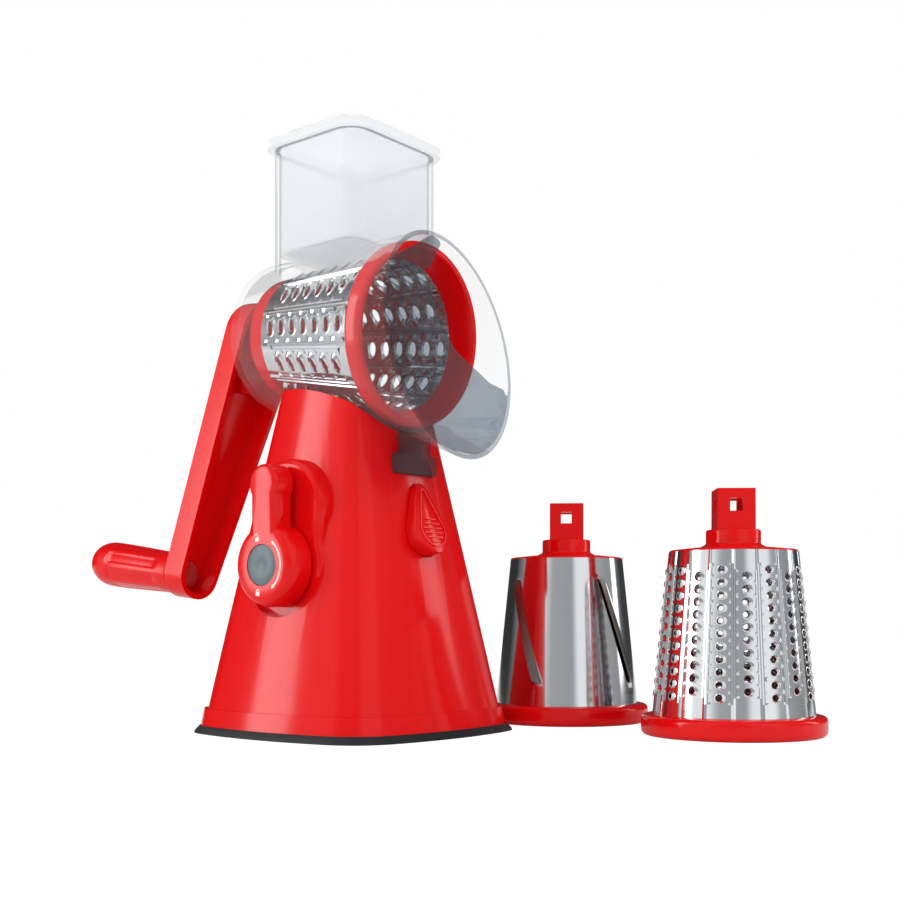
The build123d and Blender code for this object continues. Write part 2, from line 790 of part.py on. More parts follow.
# ---------------------------------------------------------------- lever, its shaft, cam and yoke
lever_plane = Plane(origin=(lever_face_x, 0, lever_z), x_dir=(0, -1, 0), z_dir=(-1, 0, 0))
hub_back_x = pad_x - pad_gap
hub_depth = hub_back_x - lever_face_x
head_back = cap_depth + screw_head + cap_gap
bar_end = head_back + screw_seat
with BuildPart() as handle:
    with BuildSketch(lever_plane):
        with Locations((0, knob_rise / 2)):
            Rectangle(2 * stem_half, knob_rise)
        with Locations((0, knob_rise)):
            Circle(knob_radius)
    extrude(amount=-(handle_back_x - lever_face_x))
    chamfer(handle.faces().sort_by(Axis.X)[0].edges().filter_by(lambda edge: edge.center().Z > lever_z + 1),
            lever_chamfer)
with BuildPart() as suction_lever:
    add(handle.part)
    # hub with a rounded shoulder in two slopes
    add(turned(lever_plane, [
        (0, 0),
        (hub_face_radius, 0),
        (hub_middle_radius, -hub_middle_depth),
        (hub_radius, -hub_shoulder),
        (hub_radius, -hub_depth),
        (0, -hub_depth),
    ], disc_sides))
    # cap seat, screw seat and the square socket for the shaft
    with BuildSketch(lever_plane):
        Circle(cap_radius + cap_gap)
    extrude(amount=-cap_depth, mode=Mode.SUBTRACT)
    with BuildSketch(lever_plane):
        Circle(screw_head_radius + cap_gap)
    extrude(amount=-head_back, mode=Mode.SUBTRACT)
    with BuildSketch(lever_plane):
        Circle(screw_radius + screw_gap)
    extrude(amount=-hub_depth, mode=Mode.SUBTRACT)
    with BuildSketch(lever_plane.offset(-bar_end)):
        Rectangle(shaft_side_lever + cam_bore_gap, shaft_side_lever + cam_bore_gap)
    extrude(amount=-hub_depth, mode=Mode.SUBTRACT)
write(suction_lever.part, "suction_lever")

with BuildPart() as lever_cap:
    with BuildSketch(lever_plane.offset(-cap_depth)):
        Circle(cap_radius)
    extrude(amount=cap_depth)
    chamfer(lever_cap.faces().sort_by(Axis.X)[0].edges(), 0.4)
write(lever_cap.part, "lever_cap")

with BuildPart() as lever_shaft:
    with BuildSketch(lever_plane.offset(-bar_end)):
        Rectangle(shaft_side_lever, shaft_side_lever)
    extrude(amount=-(boss_inner_x - lever_face_x - bar_end))
    with BuildSketch(lever_plane.offset(-hub_depth)):
        Circle(journal_radius)
    extrude(amount=-journal_length)
    with BuildSketch(lever_plane.offset(-(boss_inner_x - lever_face_x))):
        Circle(tail_radius)
    extrude(amount=-tail_length)
    with BuildSketch(lever_plane.offset(-bar_end)):
        Circle(screw_radius + screw_gap)
    extrude(amount=-screw_length, mode=Mode.SUBTRACT)
write(lever_shaft.part, "lever_shaft")

with BuildPart() as lever_screw:
    with BuildSketch(lever_plane.offset(-head_back)):
        Circle(screw_head_radius)
    extrude(amount=screw_head)
    with BuildSketch(lever_plane.offset(-head_back)):
        Circle(screw_radius)
    extrude(amount=-screw_length)
write(lever_screw.part, "lever_screw")

with BuildPart() as lever_bushing:
    with BuildSketch(pad_plane):
        Circle(bush_radius - screw_gap)
    extrude(amount=-(tower_wall + bush_flange))
    with BuildSketch(pad_plane.offset(-tower_wall)):
        Circle(bush_radius + bush_flange_wall)
    extrude(amount=-bush_flange)
    with BuildSketch(pad_plane):
        Circle(journal_radius + shaft_fit)
    extrude(amount=-(tower_wall + bush_flange), mode=Mode.SUBTRACT)
write(lever_bushing.part, "lever_bushing")

# the cam is a round disc off its centre: a quarter turn lifts it from low to high
cam_offset = cup_lift / 2
across = Plane(origin=(0, 0, lever_z), x_dir=(0, 1, 0), z_dir=(1, 0, 0))
with BuildPart() as lift_cam:
    with BuildSketch(across.offset(-cam_half_width)):
        with Locations((cam_offset, -cam_offset)):
            Circle(cam_radius)
        Rectangle(shaft_side_lever + cam_bore_gap, shaft_side_lever + cam_bore_gap, mode=Mode.SUBTRACT)
    extrude(amount=2 * cam_half_width)
write(lift_cam.part, "lift_cam")

window_high = cam_radius - cam_offset + yoke_gap / 2
window_low = -cam_radius - cam_offset - yoke_gap
window_side_y = cam_radius + cam_offset * sqrt(2) + yoke_gap
yoke_low = lever_z + window_low - yoke_wall
with BuildPart() as lift_yoke:
    with BuildSketch(across.offset(-yoke_half_thick)):
        with Locations((0, (window_high + window_low) / 2)):
            Rectangle(2 * (window_side_y + yoke_wall), window_high - window_low + 2 * yoke_wall)
            Rectangle(2 * window_side_y, window_high - window_low, mode=Mode.SUBTRACT)
    extrude(amount=2 * yoke_half_thick)
    with BuildSketch(Plane.XY.offset(cup_boss_top)):
        Circle(yoke_stem_radius)
    extrude(amount=yoke_low - cup_boss_top + yoke_wall / 2)
    with BuildSketch(Plane.XY.offset(cup_boss_top)):
        Circle(stud_radius + screw_gap)
    extrude(amount=stud_plate_low + stud_length - cup_boss_top + stud_room, mode=Mode.SUBTRACT)
write(lift_yoke.part, "lift_yoke")

# ---------------------------------------------------------------- latch button
wall_normal = tower_wall * cos(radians(wall_lean))
flange_front = wall_normal + button_back_gap
flange_back = flange_front + button_flange_thick
front_slope = (button_proud_low - button_proud_high) / (button_rise + button_radius + button_tip_radius)
proud_middle = button_proud_low - front_slope * button_radius
tooth_top = tongue_low + (bar_height + notch_height) / 2 - tooth_above
tooth_tip = tongue_y + tongue_thick - tooth_reach
arm_face = pocket_back + tower_wall + tongue_gap
with BuildPart() as latch_button:
    with BuildSketch(button_face.offset(-flange_back)):
        add(button_outline())
    extrude(amount=flange_back + 2 * button_proud_low)
    with BuildSketch(button_face.offset(-flange_back)):
        add(button_outline(button_flange))
    extrude(amount=button_flange_thick)
    # the sloping front
    front = Plane(
        origin=button_face.origin + button_face.z_dir * proud_middle,
        x_dir=button_face.x_dir,
        z_dir=button_face.z_dir + button_face.y_dir * front_slope,
    )
    split(bisect_by=front, keep=Keep.BOTTOM)
    chamfer(latch_button.faces().sort_by(Axis(front.origin, front.z_dir))[-1].edges(), 0.8)
    # arm and tooth behind the wall
    with BuildSketch(Plane.YZ):
        with BuildLine():
            Polyline(
                (arm_face - arm_root, button_z + arm_low),
                (arm_face + tooth_arm, button_z + arm_low),
                (arm_face + tooth_arm, tooth_top),
                (tooth_tip, tooth_top),
                (tooth_tip, tooth_top - tooth_height),
                (arm_face, tooth_top - tooth_height),
                (arm_face, button_z + arm_high),
                (arm_face - arm_root, button_z + arm_high),
                close=True,
            )
        make_face()
    extrude(amount=tooth_half_width, both=True)
write(latch_button.part, "latch_button")

# ---------------------------------------------------------------- crank
grip_place = (grip_x, -grip_down)


def arm_outline(extra=0.0):
    with BuildSketch() as outline:
        RegularPolygon(hub_end_radius + extra, arm_sides)
        with Locations(grip_place):
            RegularPolygon(grip_end_radius + extra, arm_sides)
        make_hull()
    return outline.sketch


socket_half = shaft_side / 2 + socket_gap
socket_start = shaft_start + socket_front
web_inner = arm_back - arm_wall
with BuildPart() as crank_arm:
    with BuildSketch(drum_seat.offset(arm_front)):
        add(arm_outline())
    extrude(amount=arm_depth)
    chamfer(crank_arm.faces().sort_by(Axis(drum_seat.origin, drum_seat.z_dir))[-1].edges(), arm_edge)
    with BuildSketch(drum_seat.offset(arm_front)):
        add(arm_outline(-arm_wall))
    extrude(amount=web_inner - arm_front, mode=Mode.SUBTRACT)
    # square socket for the drum's shaft
    with BuildSketch(drum_seat.offset(socket_start)):
        Rectangle(2 * (socket_half + socket_wall), 2 * (socket_half + socket_wall))
    extrude(amount=arm_back - socket_start - arm_wall / 2)
    with BuildSketch(drum_seat.offset(socket_start)):
        Rectangle(2 * socket_half, 2 * socket_half)
    extrude(amount=web_inner - socket_start, mode=Mode.SUBTRACT)
    # nibs that snap into the shaft's windows
    nib_side = window_side - nib_gap
    nib_at = shaft_start + shaft_length - window_from_end
    with BuildSketch(drum_seat.offset(nib_at - nib_side / 2)):
        for side in (-1, 1):
            with Locations((side * (socket_half - nib_depth / 2), 0)):
                Rectangle(nib_depth, nib_side)
    extrude(amount=nib_side)
    # small square boss below the socket
    with BuildSketch(drum_seat.offset(web_inner - boss_height)):
        with Locations((grip_place[0] * boss_share, grip_place[1] * boss_share)):
            Rectangle(boss_side, boss_side)
    extrude(amount=boss_height + arm_wall / 2)
    # hole for the grip's axle
    with BuildSketch(drum_seat.offset(web_inner)):
        with Locations(grip_place):
            Circle(axle_radius + screw_gap)
    extrude(amount=2 * arm_wall, mode=Mode.SUBTRACT)
write(crank_arm.part, "crank_arm")

grip_start = arm_back + grip_gap
grip_end = grip_start + grip_length
clip_start = grip_end - recess_depth + clip_gap
grip_seat = Plane(
    origin=drum_seat.from_local_coords((grip_place[0], grip_place[1], 0)), x_dir=(1, 0, 0), z_dir=backward)
write(turned(grip_seat, [
    (0, web_inner - axle_head),
    (axle_head_radius, web_inner - axle_head),
    (axle_head_radius, web_inner),
    (axle_radius, web_inner),
    (axle_radius, clip_start),
    (axle_radius - axle_neck, clip_start),
    (axle_radius - axle_neck, clip_start + clip_thick),
    (axle_radius, clip_start + clip_thick),
    (axle_radius, clip_start + clip_thick + axle_tail),
    (0, clip_start + clip_thick + axle_tail),
]), "grip_axle")
write(turned(grip_seat, [
    (axle_radius - axle_neck + screw_gap, clip_start + screw_gap),
    (clip_radius, clip_start + screw_gap),
    (clip_radius, clip_start + clip_thick - screw_gap),
    (axle_radius - axle_neck + screw_gap, clip_start + clip_thick - screw_gap),
]), "axle_clip")

with BuildPart() as crank_grip:
    with BuildSketch(grip_seat.offset(grip_start)):
        RegularPolygon(grip_radius, grip_sides)
    extrude(amount=grip_length)
    chamfer(crank_grip.faces().sort_by(Axis(grip_seat.origin, backward))[0].edges(), grip_end_chamfer)
    with BuildSketch(grip_seat.offset(grip_start)):
        with PolarLocations(grip_radius + flute_out, grip_flutes):
            RegularPolygon(flute_radius, 6)
    extrude(amount=grip_length, mode=Mode.SUBTRACT)
    with BuildSketch(grip_seat.offset(grip_start)):
        Circle(axle_radius + axle_fit)
    extrude(amount=grip_length, mode=Mode.SUBTRACT)
    with BuildSketch(grip_seat.offset(grip_end - recess_depth)):
        Circle(recess_radius)
    extrude(amount=recess_depth, mode=Mode.SUBTRACT)
write(crank_grip.part, "crank_grip")

dome = [(radius * grip_radius, grip_end + rise * dome_length) for radius, rise in dome_steps]
write(turned(grip_seat, [
    (0, grip_end - plug_length),
    (recess_radius - plug_gap, grip_end - plug_length),
    (recess_radius - plug_gap, grip_end),
    (grip_radius, grip_end),
    *dome,
    (0, grip_end + dome_length),
], grip_sides), "grip_cap")

# ---------------------------------------------------------------- food pusher
pusher_x = chute_width - 2 * (housing_wall + pusher_gap)
pusher_y = chute_depth - 2 * (housing_wall + pusher_gap)
pusher_inner_corner = chute_corner - housing_wall - pusher_gap
drum_top = mouth_z + (cone_radius(-mouth_y) - mouth_y * sin(tilt)) / cos(tilt)
pusher_bottom = drum_top + tooth_room
with BuildPart() as food_pusher:
    with BuildSketch(Plane.XY.offset(pusher_bottom)):
        RectangleRounded(pusher_x, pusher_y, pusher_inner_corner)
    extrude(amount=chute_top - pusher_bottom)
    with BuildSketch(Plane.XY.offset(chute_top)):
        RectangleRounded(
            chute_width + 2 * flange_overhang_x, chute_depth + 2 * flange_overhang_y, pusher_corner)
    extrude(amount=pusher_flange_thick)
    chamfer(food_pusher.faces().sort_by(Axis.Z)[-1].edges(), 1.0)
    with BuildSketch(Plane.XY.offset(pusher_bottom + pusher_wall)):
        RectangleRounded(
            pusher_x - 2 * pusher_wall, pusher_y - 2 * pusher_wall, pusher_inner_corner - pusher_wall)
    extrude(amount=chute_top + pusher_flange_thick - pusher_bottom, mode=Mode.SUBTRACT)
write(food_pusher.part, "food_pusher")
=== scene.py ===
# Hand cranked drum shredder with two spare drums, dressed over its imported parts.
import json
import math
import bmesh
import bpy
from mathutils import Matrix, Vector

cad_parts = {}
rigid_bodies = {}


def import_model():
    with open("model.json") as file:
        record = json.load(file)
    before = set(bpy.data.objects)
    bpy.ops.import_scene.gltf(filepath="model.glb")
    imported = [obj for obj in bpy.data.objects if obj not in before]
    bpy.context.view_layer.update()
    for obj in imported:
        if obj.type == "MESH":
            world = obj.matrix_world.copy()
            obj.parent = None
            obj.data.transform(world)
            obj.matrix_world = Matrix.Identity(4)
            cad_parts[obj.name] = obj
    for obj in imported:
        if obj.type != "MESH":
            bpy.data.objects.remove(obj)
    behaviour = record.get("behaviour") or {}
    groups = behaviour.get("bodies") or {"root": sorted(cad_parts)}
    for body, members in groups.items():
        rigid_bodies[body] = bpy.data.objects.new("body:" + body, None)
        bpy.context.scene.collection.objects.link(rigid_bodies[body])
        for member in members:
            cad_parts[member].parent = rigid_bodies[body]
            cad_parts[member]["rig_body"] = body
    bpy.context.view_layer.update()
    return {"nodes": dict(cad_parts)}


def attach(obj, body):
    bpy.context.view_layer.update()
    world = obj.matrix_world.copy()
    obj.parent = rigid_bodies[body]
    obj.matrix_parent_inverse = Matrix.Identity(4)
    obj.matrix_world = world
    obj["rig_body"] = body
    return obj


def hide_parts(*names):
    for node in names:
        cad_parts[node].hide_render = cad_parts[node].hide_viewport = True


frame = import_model()
scene = bpy.context.scene
mm = 0.001

# ---- where the drum in the machine sits, and where the spare drums stand
seat = {"tilt": 6.4, "mouthY": -40.5, "mouthZ": 176.8}
spares = {
    "slicing": {"x": 106.5, "y": -45.5, "turn": 35.0},
    "fine": {"x": 90.0, "y": -146.0, "turn": 37.0},
}
tilt = math.radians(seat["tilt"])
axisDir = Vector((0, math.cos(tilt), math.sin(tilt)))
downDir = axisDir.cross(Vector((1, 0, 0)))
drumPlace = Matrix.Translation((0, seat["mouthY"], seat["mouthZ"])) @ Matrix(
    (Vector((1, 0, 0)), downDir, axisDir)).transposed().to_4x4()


def sparePlace(spec):
    return Matrix.Translation((spec["x"], spec["y"], 0)) @ Matrix.Rotation(math.radians(spec["turn"]), 4, "Z")


# ---- materials
def newMaterial(name):
    material = bpy.data.materials.new(name)
    material.use_nodes = True
    tree = material.node_tree
    return material, tree.nodes, tree.links, tree.nodes["Principled BSDF"]


def addNoise(nodes, links, scale, detail=3.0, stretch=(1, 1, 1)):
    # noise on the piece's own coordinates
    place = nodes.new("ShaderNodeTexCoord")
    mapping = nodes.new("ShaderNodeMapping")
    mapping.inputs["Scale"].default_value = stretch
    noise = nodes.new("ShaderNodeTexNoise")
    noise.inputs["Scale"].default_value = scale
    noise.inputs["Detail"].default_value = detail
    links.new(place.outputs["Object"], mapping.inputs["Vector"])
    links.new(mapping.outputs["Vector"], noise.inputs["Vector"])
    return noise.outputs["Fac"]


def ramp(nodes, links, source, low, high):
    # spreads a 0 to 1 value between two numbers or two colours
    if isinstance(low, tuple):
        mix = nodes.new("ShaderNodeMix")
        mix.data_type = "RGBA"
        mix.inputs["A"].default_value = (*low, 1)
        mix.inputs["B"].default_value = (*high, 1)
        links.new(source, mix.inputs["Factor"])
        return mix.outputs["Result"]
    spread = nodes.new("ShaderNodeMapRange")
    spread.inputs["To Min"].default_value = low
    spread.inputs["To Max"].default_value = high
    links.new(source, spread.inputs["Value"])
    return spread.outputs["Result"]


def addBump(nodes, links, shader, source, strength, distance):
    bump = nodes.new("ShaderNodeBump")
    bump.inputs["Strength"].default_value = strength
    bump.inputs["Distance"].default_value = distance
    links.new(source, bump.inputs["Height"])
    links.new(bump.outputs["Normal"], shader.inputs["Normal"])


def addMath(nodes, links, operation, *sources):
    step = nodes.new("ShaderNodeMath")
    step.operation = operation
    for index, source in enumerate(sources):
        links.new(source, step.inputs[index])
    return step.outputs[0]


def mixShaders(nodes, links, factor, first, second):
    mix = nodes.new("ShaderNodeMixShader")
    links.new(factor, mix.inputs["Fac"])
    links.new(first, mix.inputs[1])
    links.new(second, mix.inputs[2])
    return mix.outputs["Shader"]


def mouldedPlastic(name, dark, light, roughLow, roughHigh, grain=0.04, specular=0.5):
    # coloured through plastic with faint flow marks and a fine orange peel
    material, nodes, links, shader = newMaterial(name)
    flow = addNoise(nodes, links, 22, 3, (1, 1, 0.35))
    links.new(ramp(nodes, links, flow, dark, light), shader.inputs["Base Color"])
    links.new(ramp(nodes, links, addNoise(nodes, links, 60, 4), roughLow, roughHigh),
        shader.inputs["Roughness"])
    addBump(nodes, links, shader, addNoise(nodes, links, 900, 2), grain, 0.0002)
    shader.inputs["Specular IOR Level"].default_value = specular
    return material


redPlastic = mouldedPlastic(
    "glossy red plastic", (0.74, 0.0022, 0.0032), (0.84, 0.003, 0.0045), 0.11, 0.17, 0.04, 0.3)
blackPlastic = mouldedPlastic("black plastic", (0.012, 0.012, 0.013), (0.022, 0.022, 0.024), 0.4, 0.55)
greyPlastic = mouldedPlastic("grey cap plastic", (0.115, 0.16, 0.18), (0.15, 0.2, 0.22), 0.35, 0.5, 0.1)
whiteInk = mouldedPlastic("white print", (0.82, 0.78, 0.74), (0.9, 0.87, 0.84), 0.4, 0.5)
blackRubber = mouldedPlastic("black rubber", (0.008, 0.008, 0.009), (0.016, 0.016, 0.018), 0.5, 0.7, 0.25)


def polishedSteel():
    # rolled stainless sheet: faint grain round the drum and slow waves in its mirror
    material, nodes, links, shader = newMaterial("polished steel sheet")
    shader.inputs["Metallic"].default_value = 1
    wave = addNoise(nodes, links, 35, 2, (1, 1, 0.5))
    links.new(ramp(nodes, links, wave, (0.74, 0.75, 0.765), (0.82, 0.825, 0.83)), shader.inputs["Base Color"])
    grain = addNoise(nodes, links, 180, 5, (0.25, 0.25, 6))
    links.new(ramp(nodes, links, grain, 0.07, 0.17), shader.inputs["Roughness"])
    addBump(nodes, links, shader, wave, 0.12, 0.0004)
    return material


def platedSteel():
    material, nodes, links, shader = newMaterial("plated steel")
    shader.inputs["Metallic"].default_value = 1
    grain = addNoise(nodes, links, 400, 3)
    links.new(ramp(nodes, links, grain, (0.5, 0.5, 0.52), (0.62, 0.62, 0.64)), shader.inputs["Base Color"])
    links.new(ramp(nodes, links, grain, 0.25, 0.4), shader.inputs["Roughness"])
    return material


def edgeOf(nodes, links, blend, output):
    # how edge-on the surface is seen, for gloss and for the painted edge-on shade of clear walls
    weight = nodes.new("ShaderNodeLayerWeight")
    weight.inputs["Blend"].default_value = blend
    return weight.outputs[output]


# rim is the colour of the painted shade where a wall is seen edge-on; the next argument is the facing value
# where that shade begins
def clearPlastic(name, face, rim, edgeOnShadeStart, haze=(0.012, 0.07)):
    # thin clear moulding: light goes straight through, with a painted grey shade where a wall is seen
    # edge-on, and a gloss
    material, nodes, links, shader = newMaterial(name)
    nodes.remove(shader)
    flow = addNoise(nodes, links, 30, 2)
    faceColour = ramp(nodes, links, flow, tuple(value * 0.99 for value in face), face)
    spread = nodes.new("ShaderNodeMapRange")
    spread.inputs["From Min"].default_value = edgeOnShadeStart
    links.new(edgeOf(nodes, links, 0.5, "Facing"), spread.inputs["Value"])
    # painted shade: the colour seen through the wall turns to the rim grey where the wall is seen edge-on
    edgeOnShadeMix = nodes.new("ShaderNodeMix")
    edgeOnShadeMix.data_type = "RGBA"
    links.new(spread.outputs["Result"], edgeOnShadeMix.inputs["Factor"])
    links.new(faceColour, edgeOnShadeMix.inputs["A"])
    edgeOnShadeMix.inputs["B"].default_value = (*rim, 1)
    through = nodes.new("ShaderNodeBsdfTransparent")
    links.new(edgeOnShadeMix.outputs["Result"], through.inputs["Color"])
    gloss = nodes.new("ShaderNodeBsdfGlossy")
    links.new(ramp(nodes, links, flow, 0.02, 0.06), gloss.inputs["Roughness"])
    bump = nodes.new("ShaderNodeBump")
    bump.inputs["Strength"].default_value = 0.08
    bump.inputs["Distance"].default_value = 0.0004
    links.new(flow, bump.inputs["Height"])
    links.new(bump.outputs["Normal"], gloss.inputs["Normal"])
    # held down where it is seen edge-on, so that thin walls stay clear
    shine = ramp(nodes, links, edgeOf(nodes, links, 0.1, "Fresnel"), 0, 0.3)
    clear = mixShaders(nodes, links, shine, through.outputs["BSDF"], gloss.outputs["BSDF"])
    # a little light is scattered in the wall
    milk = nodes.new("ShaderNodeBsdfDiffuse")
    milk.inputs["Color"].default_value = (0.9, 0.92, 0.94, 1)
    amount = ramp(nodes, links, edgeOf(nodes, links, 0.5, "Facing"), *haze)
    cloudy = mixShaders(nodes, links, amount, clear, milk.outputs["BSDF"])
    links.new(cloudy, nodes["Material Output"].inputs["Surface"])
    return material


def frostedPlastic():
    # milky pusher: light passes and scatters
    material, nodes, links, shader = newMaterial("frosted plastic")
    shader.inputs["Transmission Weight"].default_value = 0.8
    shader.inputs["IOR"].default_value = 1.05
    cloud = addNoise(nodes, links, 18, 3, (1, 1, 0.6))
    links.new(ramp(nodes, links, cloud, (0.89, 0.9, 0.908), (0.93, 0.938, 0.945)),
        shader.inputs["Base Color"])
    links.new(ramp(nodes, links, cloud, 0.4, 0.5), shader.inputs["Roughness"])
    return material


def groundSteel():
    # the raised cutting edges are brushed and darker
    material, nodes, links, shader = newMaterial("ground steel edge")
    shader.inputs["Metallic"].default_value = 1
    grain = addNoise(nodes, links, 260, 4, (1, 1, 0.12))
    links.new(ramp(nodes, links, grain, (0.2, 0.19, 0.185), (0.3, 0.29, 0.28)), shader.inputs["Base Color"])
    links.new(ramp(nodes, links, grain, 0.3, 0.45), shader.inputs["Roughness"])
    return material


drumSteel = polishedSteel()
edgeSteel = groundSteel()
shaftSteel = platedSteel()
# each clear material: its face colour, the painted edge-on shade colour, and the facing value where that
# shade starts
clearShell = clearPlastic("clear plastic", (0.985, 0.99, 0.992), (0.66, 0.69, 0.72), 0.965)
# the lip's rim and the chute's top: the same clear plastic, painted grey all over as shade on its cut edges
shadedClearEdge = clearPlastic("clear plastic edge, painted shade", (0.5, 0.54, 0.58), (0.32, 0.35, 0.38), 0.7)
# the tongue: the same clear plastic, painted darker grey as the shade of the pocket it sits in
shadedClearTongue = clearPlastic("clear plastic tongue, painted pocket shade", (0.56, 0.58, 0.6), (0.3, 0.32, 0.34), 0.6)
milkyPlastic = frostedPlastic()
print("materials made")


# ---- making pieces
def finishPiece(bm, name, material, body, nodes=(), place=None, smooth=32, bevel=0.0, segments=2):
    # turns a bmesh in millimetres into a named piece that rides on its body
    indices = [face.material_index for face in bm.faces]
    if place is not None:
        bmesh.ops.transform(bm, matrix=place, verts=bm.verts)
    bmesh.ops.scale(bm, vec=(mm, mm, mm), verts=bm.verts)
    mesh = bpy.data.meshes.new(name)
    bm.to_mesh(mesh)
    bm.free()
    piece = finishMesh(mesh, name, material, body, nodes, smooth, bevel, segments)
    mesh.polygons.foreach_set("material_index", indices)
    return piece


def finishMesh(mesh, name, material, body, nodes=(), smooth=32, bevel=0.0, segments=2):
    mesh.materials.clear()
    for item in material if isinstance(material, tuple) else (material,):
        mesh.materials.append(item)
    mesh.shade_smooth()
    mesh.set_sharp_from_angle(angle=math.radians(smooth))
    piece = bpy.data.objects.new(name, mesh)
    scene.collection.objects.link(piece)
    if bevel:
        rounding = piece.modifiers.new("rounded edges", "BEVEL")
        rounding.width = bevel * mm
        rounding.segments = segments
        rounding.limit_method = "ANGLE"
        rounding.angle_limit = math.radians(38)
        rounding.harden_normals = True
    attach(piece, body)
    if nodes:
        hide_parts(*nodes)
    return piece


def dressNode(node, name, material, smooth=32, bevel=0.0, flat=0.6):
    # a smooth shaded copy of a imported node, its doubles merged and its flat faces joined
    source = frame["nodes"][node]
    body = source["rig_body"]
    bm = bmesh.new()
    bm.from_mesh(source.data)
    bmesh.ops.remove_doubles(bm, verts=bm.verts, dist=1e-6)
    bmesh.ops.dissolve_limit(
        bm, angle_limit=math.radians(flat), verts=bm.verts, edges=bm.edges, delimit=set())
    mesh = bpy.data.meshes.new(name)
    bm.to_mesh(mesh)
    bm.free()
    return finishMesh(mesh, name, material, body, (node,), smooth, bevel)


def addProfile(bm, points):
    verts = [bm.verts.new((radius, 0, along)) for radius, along in points]
    return [bm.edges.new(pair) for pair in zip(verts, verts[1:])]


def spinProfile(points, steps=128, closed=True):
    # a solid of revolution about local Z from (radius, distance) points
    bm = bmesh.new()
    edges = addProfile(bm, points)
    if closed:
        verts = list(bm.verts)
        edges.append(bm.edges.new((verts[-1], verts[0])))
    bmesh.ops.spin(
        bm, geom=list(bm.verts) + edges, cent=(0, 0, 0), axis=(0, 0, 1), angle=math.tau,
        steps=steps, use_merge=True)
    bmesh.ops.remove_doubles(bm, verts=bm.verts, dist=1e-4)
    bmesh.ops.dissolve_degenerate(bm, edges=bm.edges, dist=1e-5)
    bmesh.ops.recalc_face_normals(bm, faces=bm.faces)
    return bm


def roundCorners(points, radii, steps=4):
    # replaces each corner of a closed outline by an arc; radii gives one radius a corner
    out = []
    count = len(points)
    for index, point in enumerate(points):
        corner = Vector(point)
        radius = radii[index] if index < len(radii) else 0
        if not radius:
            out.append(tuple(corner))
            continue
        before = (Vector(points[index - 1]) - corner).normalized()
        after = (Vector(points[(index + 1) % count]) - corner).normalized()
        half = before.angle(after) / 2
        reach = radius / math.tan(half)
        centre = corner + (before + after).normalized() * radius / math.sin(half)
        start = corner + before * reach - centre
        end = corner + after * reach - centre
        sweep = start.angle_signed(end)
        for step in range(steps + 1):
            turn = Matrix.Rotation(-sweep * step / steps, 2)
            out.append(tuple(centre + turn @ start))
    return out


def loftSolid(rings):
    # a closed solid through rings of world points, all with the same count
    bm = bmesh.new()
    loops = [[bm.verts.new(point) for point in ring] for ring in rings]
    for low, high in zip(loops, loops[1:]):
        for index in range(len(low)):
            after = (index + 1) % len(low)
            bm.faces.new((low[index], low[after], high[after], high[index]))
    bm.faces.new(loops[0][::-1])
    bm.faces.new(loops[-1])
    bmesh.ops.recalc_face_normals(bm, faces=bm.faces)
    return bm


def prism(points, place, low, high):
    return loftSolid([[place @ Vector((x, y, height)) for x, y in points] for height in (low, high)])


def box(low, high):
    points = [(low[0], low[1]), (high[0], low[1]), (high[0], high[1]), (low[0], high[1])]
    return prism(points, Matrix.Identity(4), low[2], high[2])


def arcPoints(radius, first, last, steps, centre=(0, 0)):
    angles = [math.radians(first + (last - first) * step / steps) for step in range(steps + 1)]
    return [(centre[0] + radius * math.cos(angle), centre[1] + radius * math.sin(angle)) for angle in angles]


def circlePoints(radius, steps=72, centre=(0, 0), squash=1.0):
    return [(x, y * squash) for x, y in arcPoints(radius, 0, 360, steps, centre)[:-1]]


def roundedRect(width, depth, corner, steps=10):
    points = []
    for first, x, y in ((0, 1, 1), (90, -1, 1), (180, -1, -1), (270, 1, -1)):
        points += arcPoints(corner, first, first + 90, steps, (x * (width / 2 - corner),
            y * (depth / 2 - corner)))
    return points


def teardropPoints(large, small, rise, extra=0.0, steps=24):
    lean = math.degrees(math.asin((large - small) / rise))
    return arcPoints(large + extra, 180 - lean, 360 + lean, steps) + arcPoints(
        small + extra, lean, 180 - lean, steps // 2, (0, rise))


def planeMatrix(origin, xDir, zDir):
    xDir, zDir = Vector(xDir).normalized(), Vector(zDir).normalized()
    return Matrix.Translation(origin) @ Matrix((xDir, zDir.cross(xDir), zDir)).transposed().to_4x4()


def bridge(bm, loops):
    # faces between each loop of points and the next
    for first, second in zip(loops, loops[1:]):
        for index in range(len(first)):
            after = (index + 1) % len(first)
            bm.faces.new((first[index], first[after], second[after], second[index]))


def joined(*pieces):
    # several closed shells in one bmesh
    bm = bmesh.new()
    for piece in pieces:
        if isinstance(piece, bpy.types.Mesh):
            bm.from_mesh(piece)
            bpy.data.meshes.remove(piece)
            continue
        mesh = bpy.data.meshes.new("part")
        piece.to_mesh(mesh)
        piece.free()
        bm.from_mesh(mesh)
        bpy.data.meshes.remove(mesh)
    return bm


def combine(base, tool, operation):
    # joins or cuts closed shells, which may overlap each other, and gives back a mesh in millimetres
    return booleanMesh(objectFrom(base, "base"), objectFrom(tool, "tool"), operation, True)


def cleanMesh(mesh):
    # drops the slivers that cutting leaves, and turns every face outwards
    bm = bmesh.new()
    bm.from_mesh(mesh)
    bpy.data.meshes.remove(mesh)
    bmesh.ops.remove_doubles(bm, verts=bm.verts, dist=0.003)
    bmesh.ops.dissolve_degenerate(bm, edges=bm.edges, dist=0.003)
    bmesh.ops.recalc_face_normals(bm, faces=bm.faces)
    return bm


# ---- booleans between scratch objects, in millimetres
def objectFrom(bm, name):
    mesh = bpy.data.meshes.new(name)
    bm.to_mesh(mesh)
    bm.free()
    item = bpy.data.objects.new(name, mesh)
    scene.collection.objects.link(item)
    return item


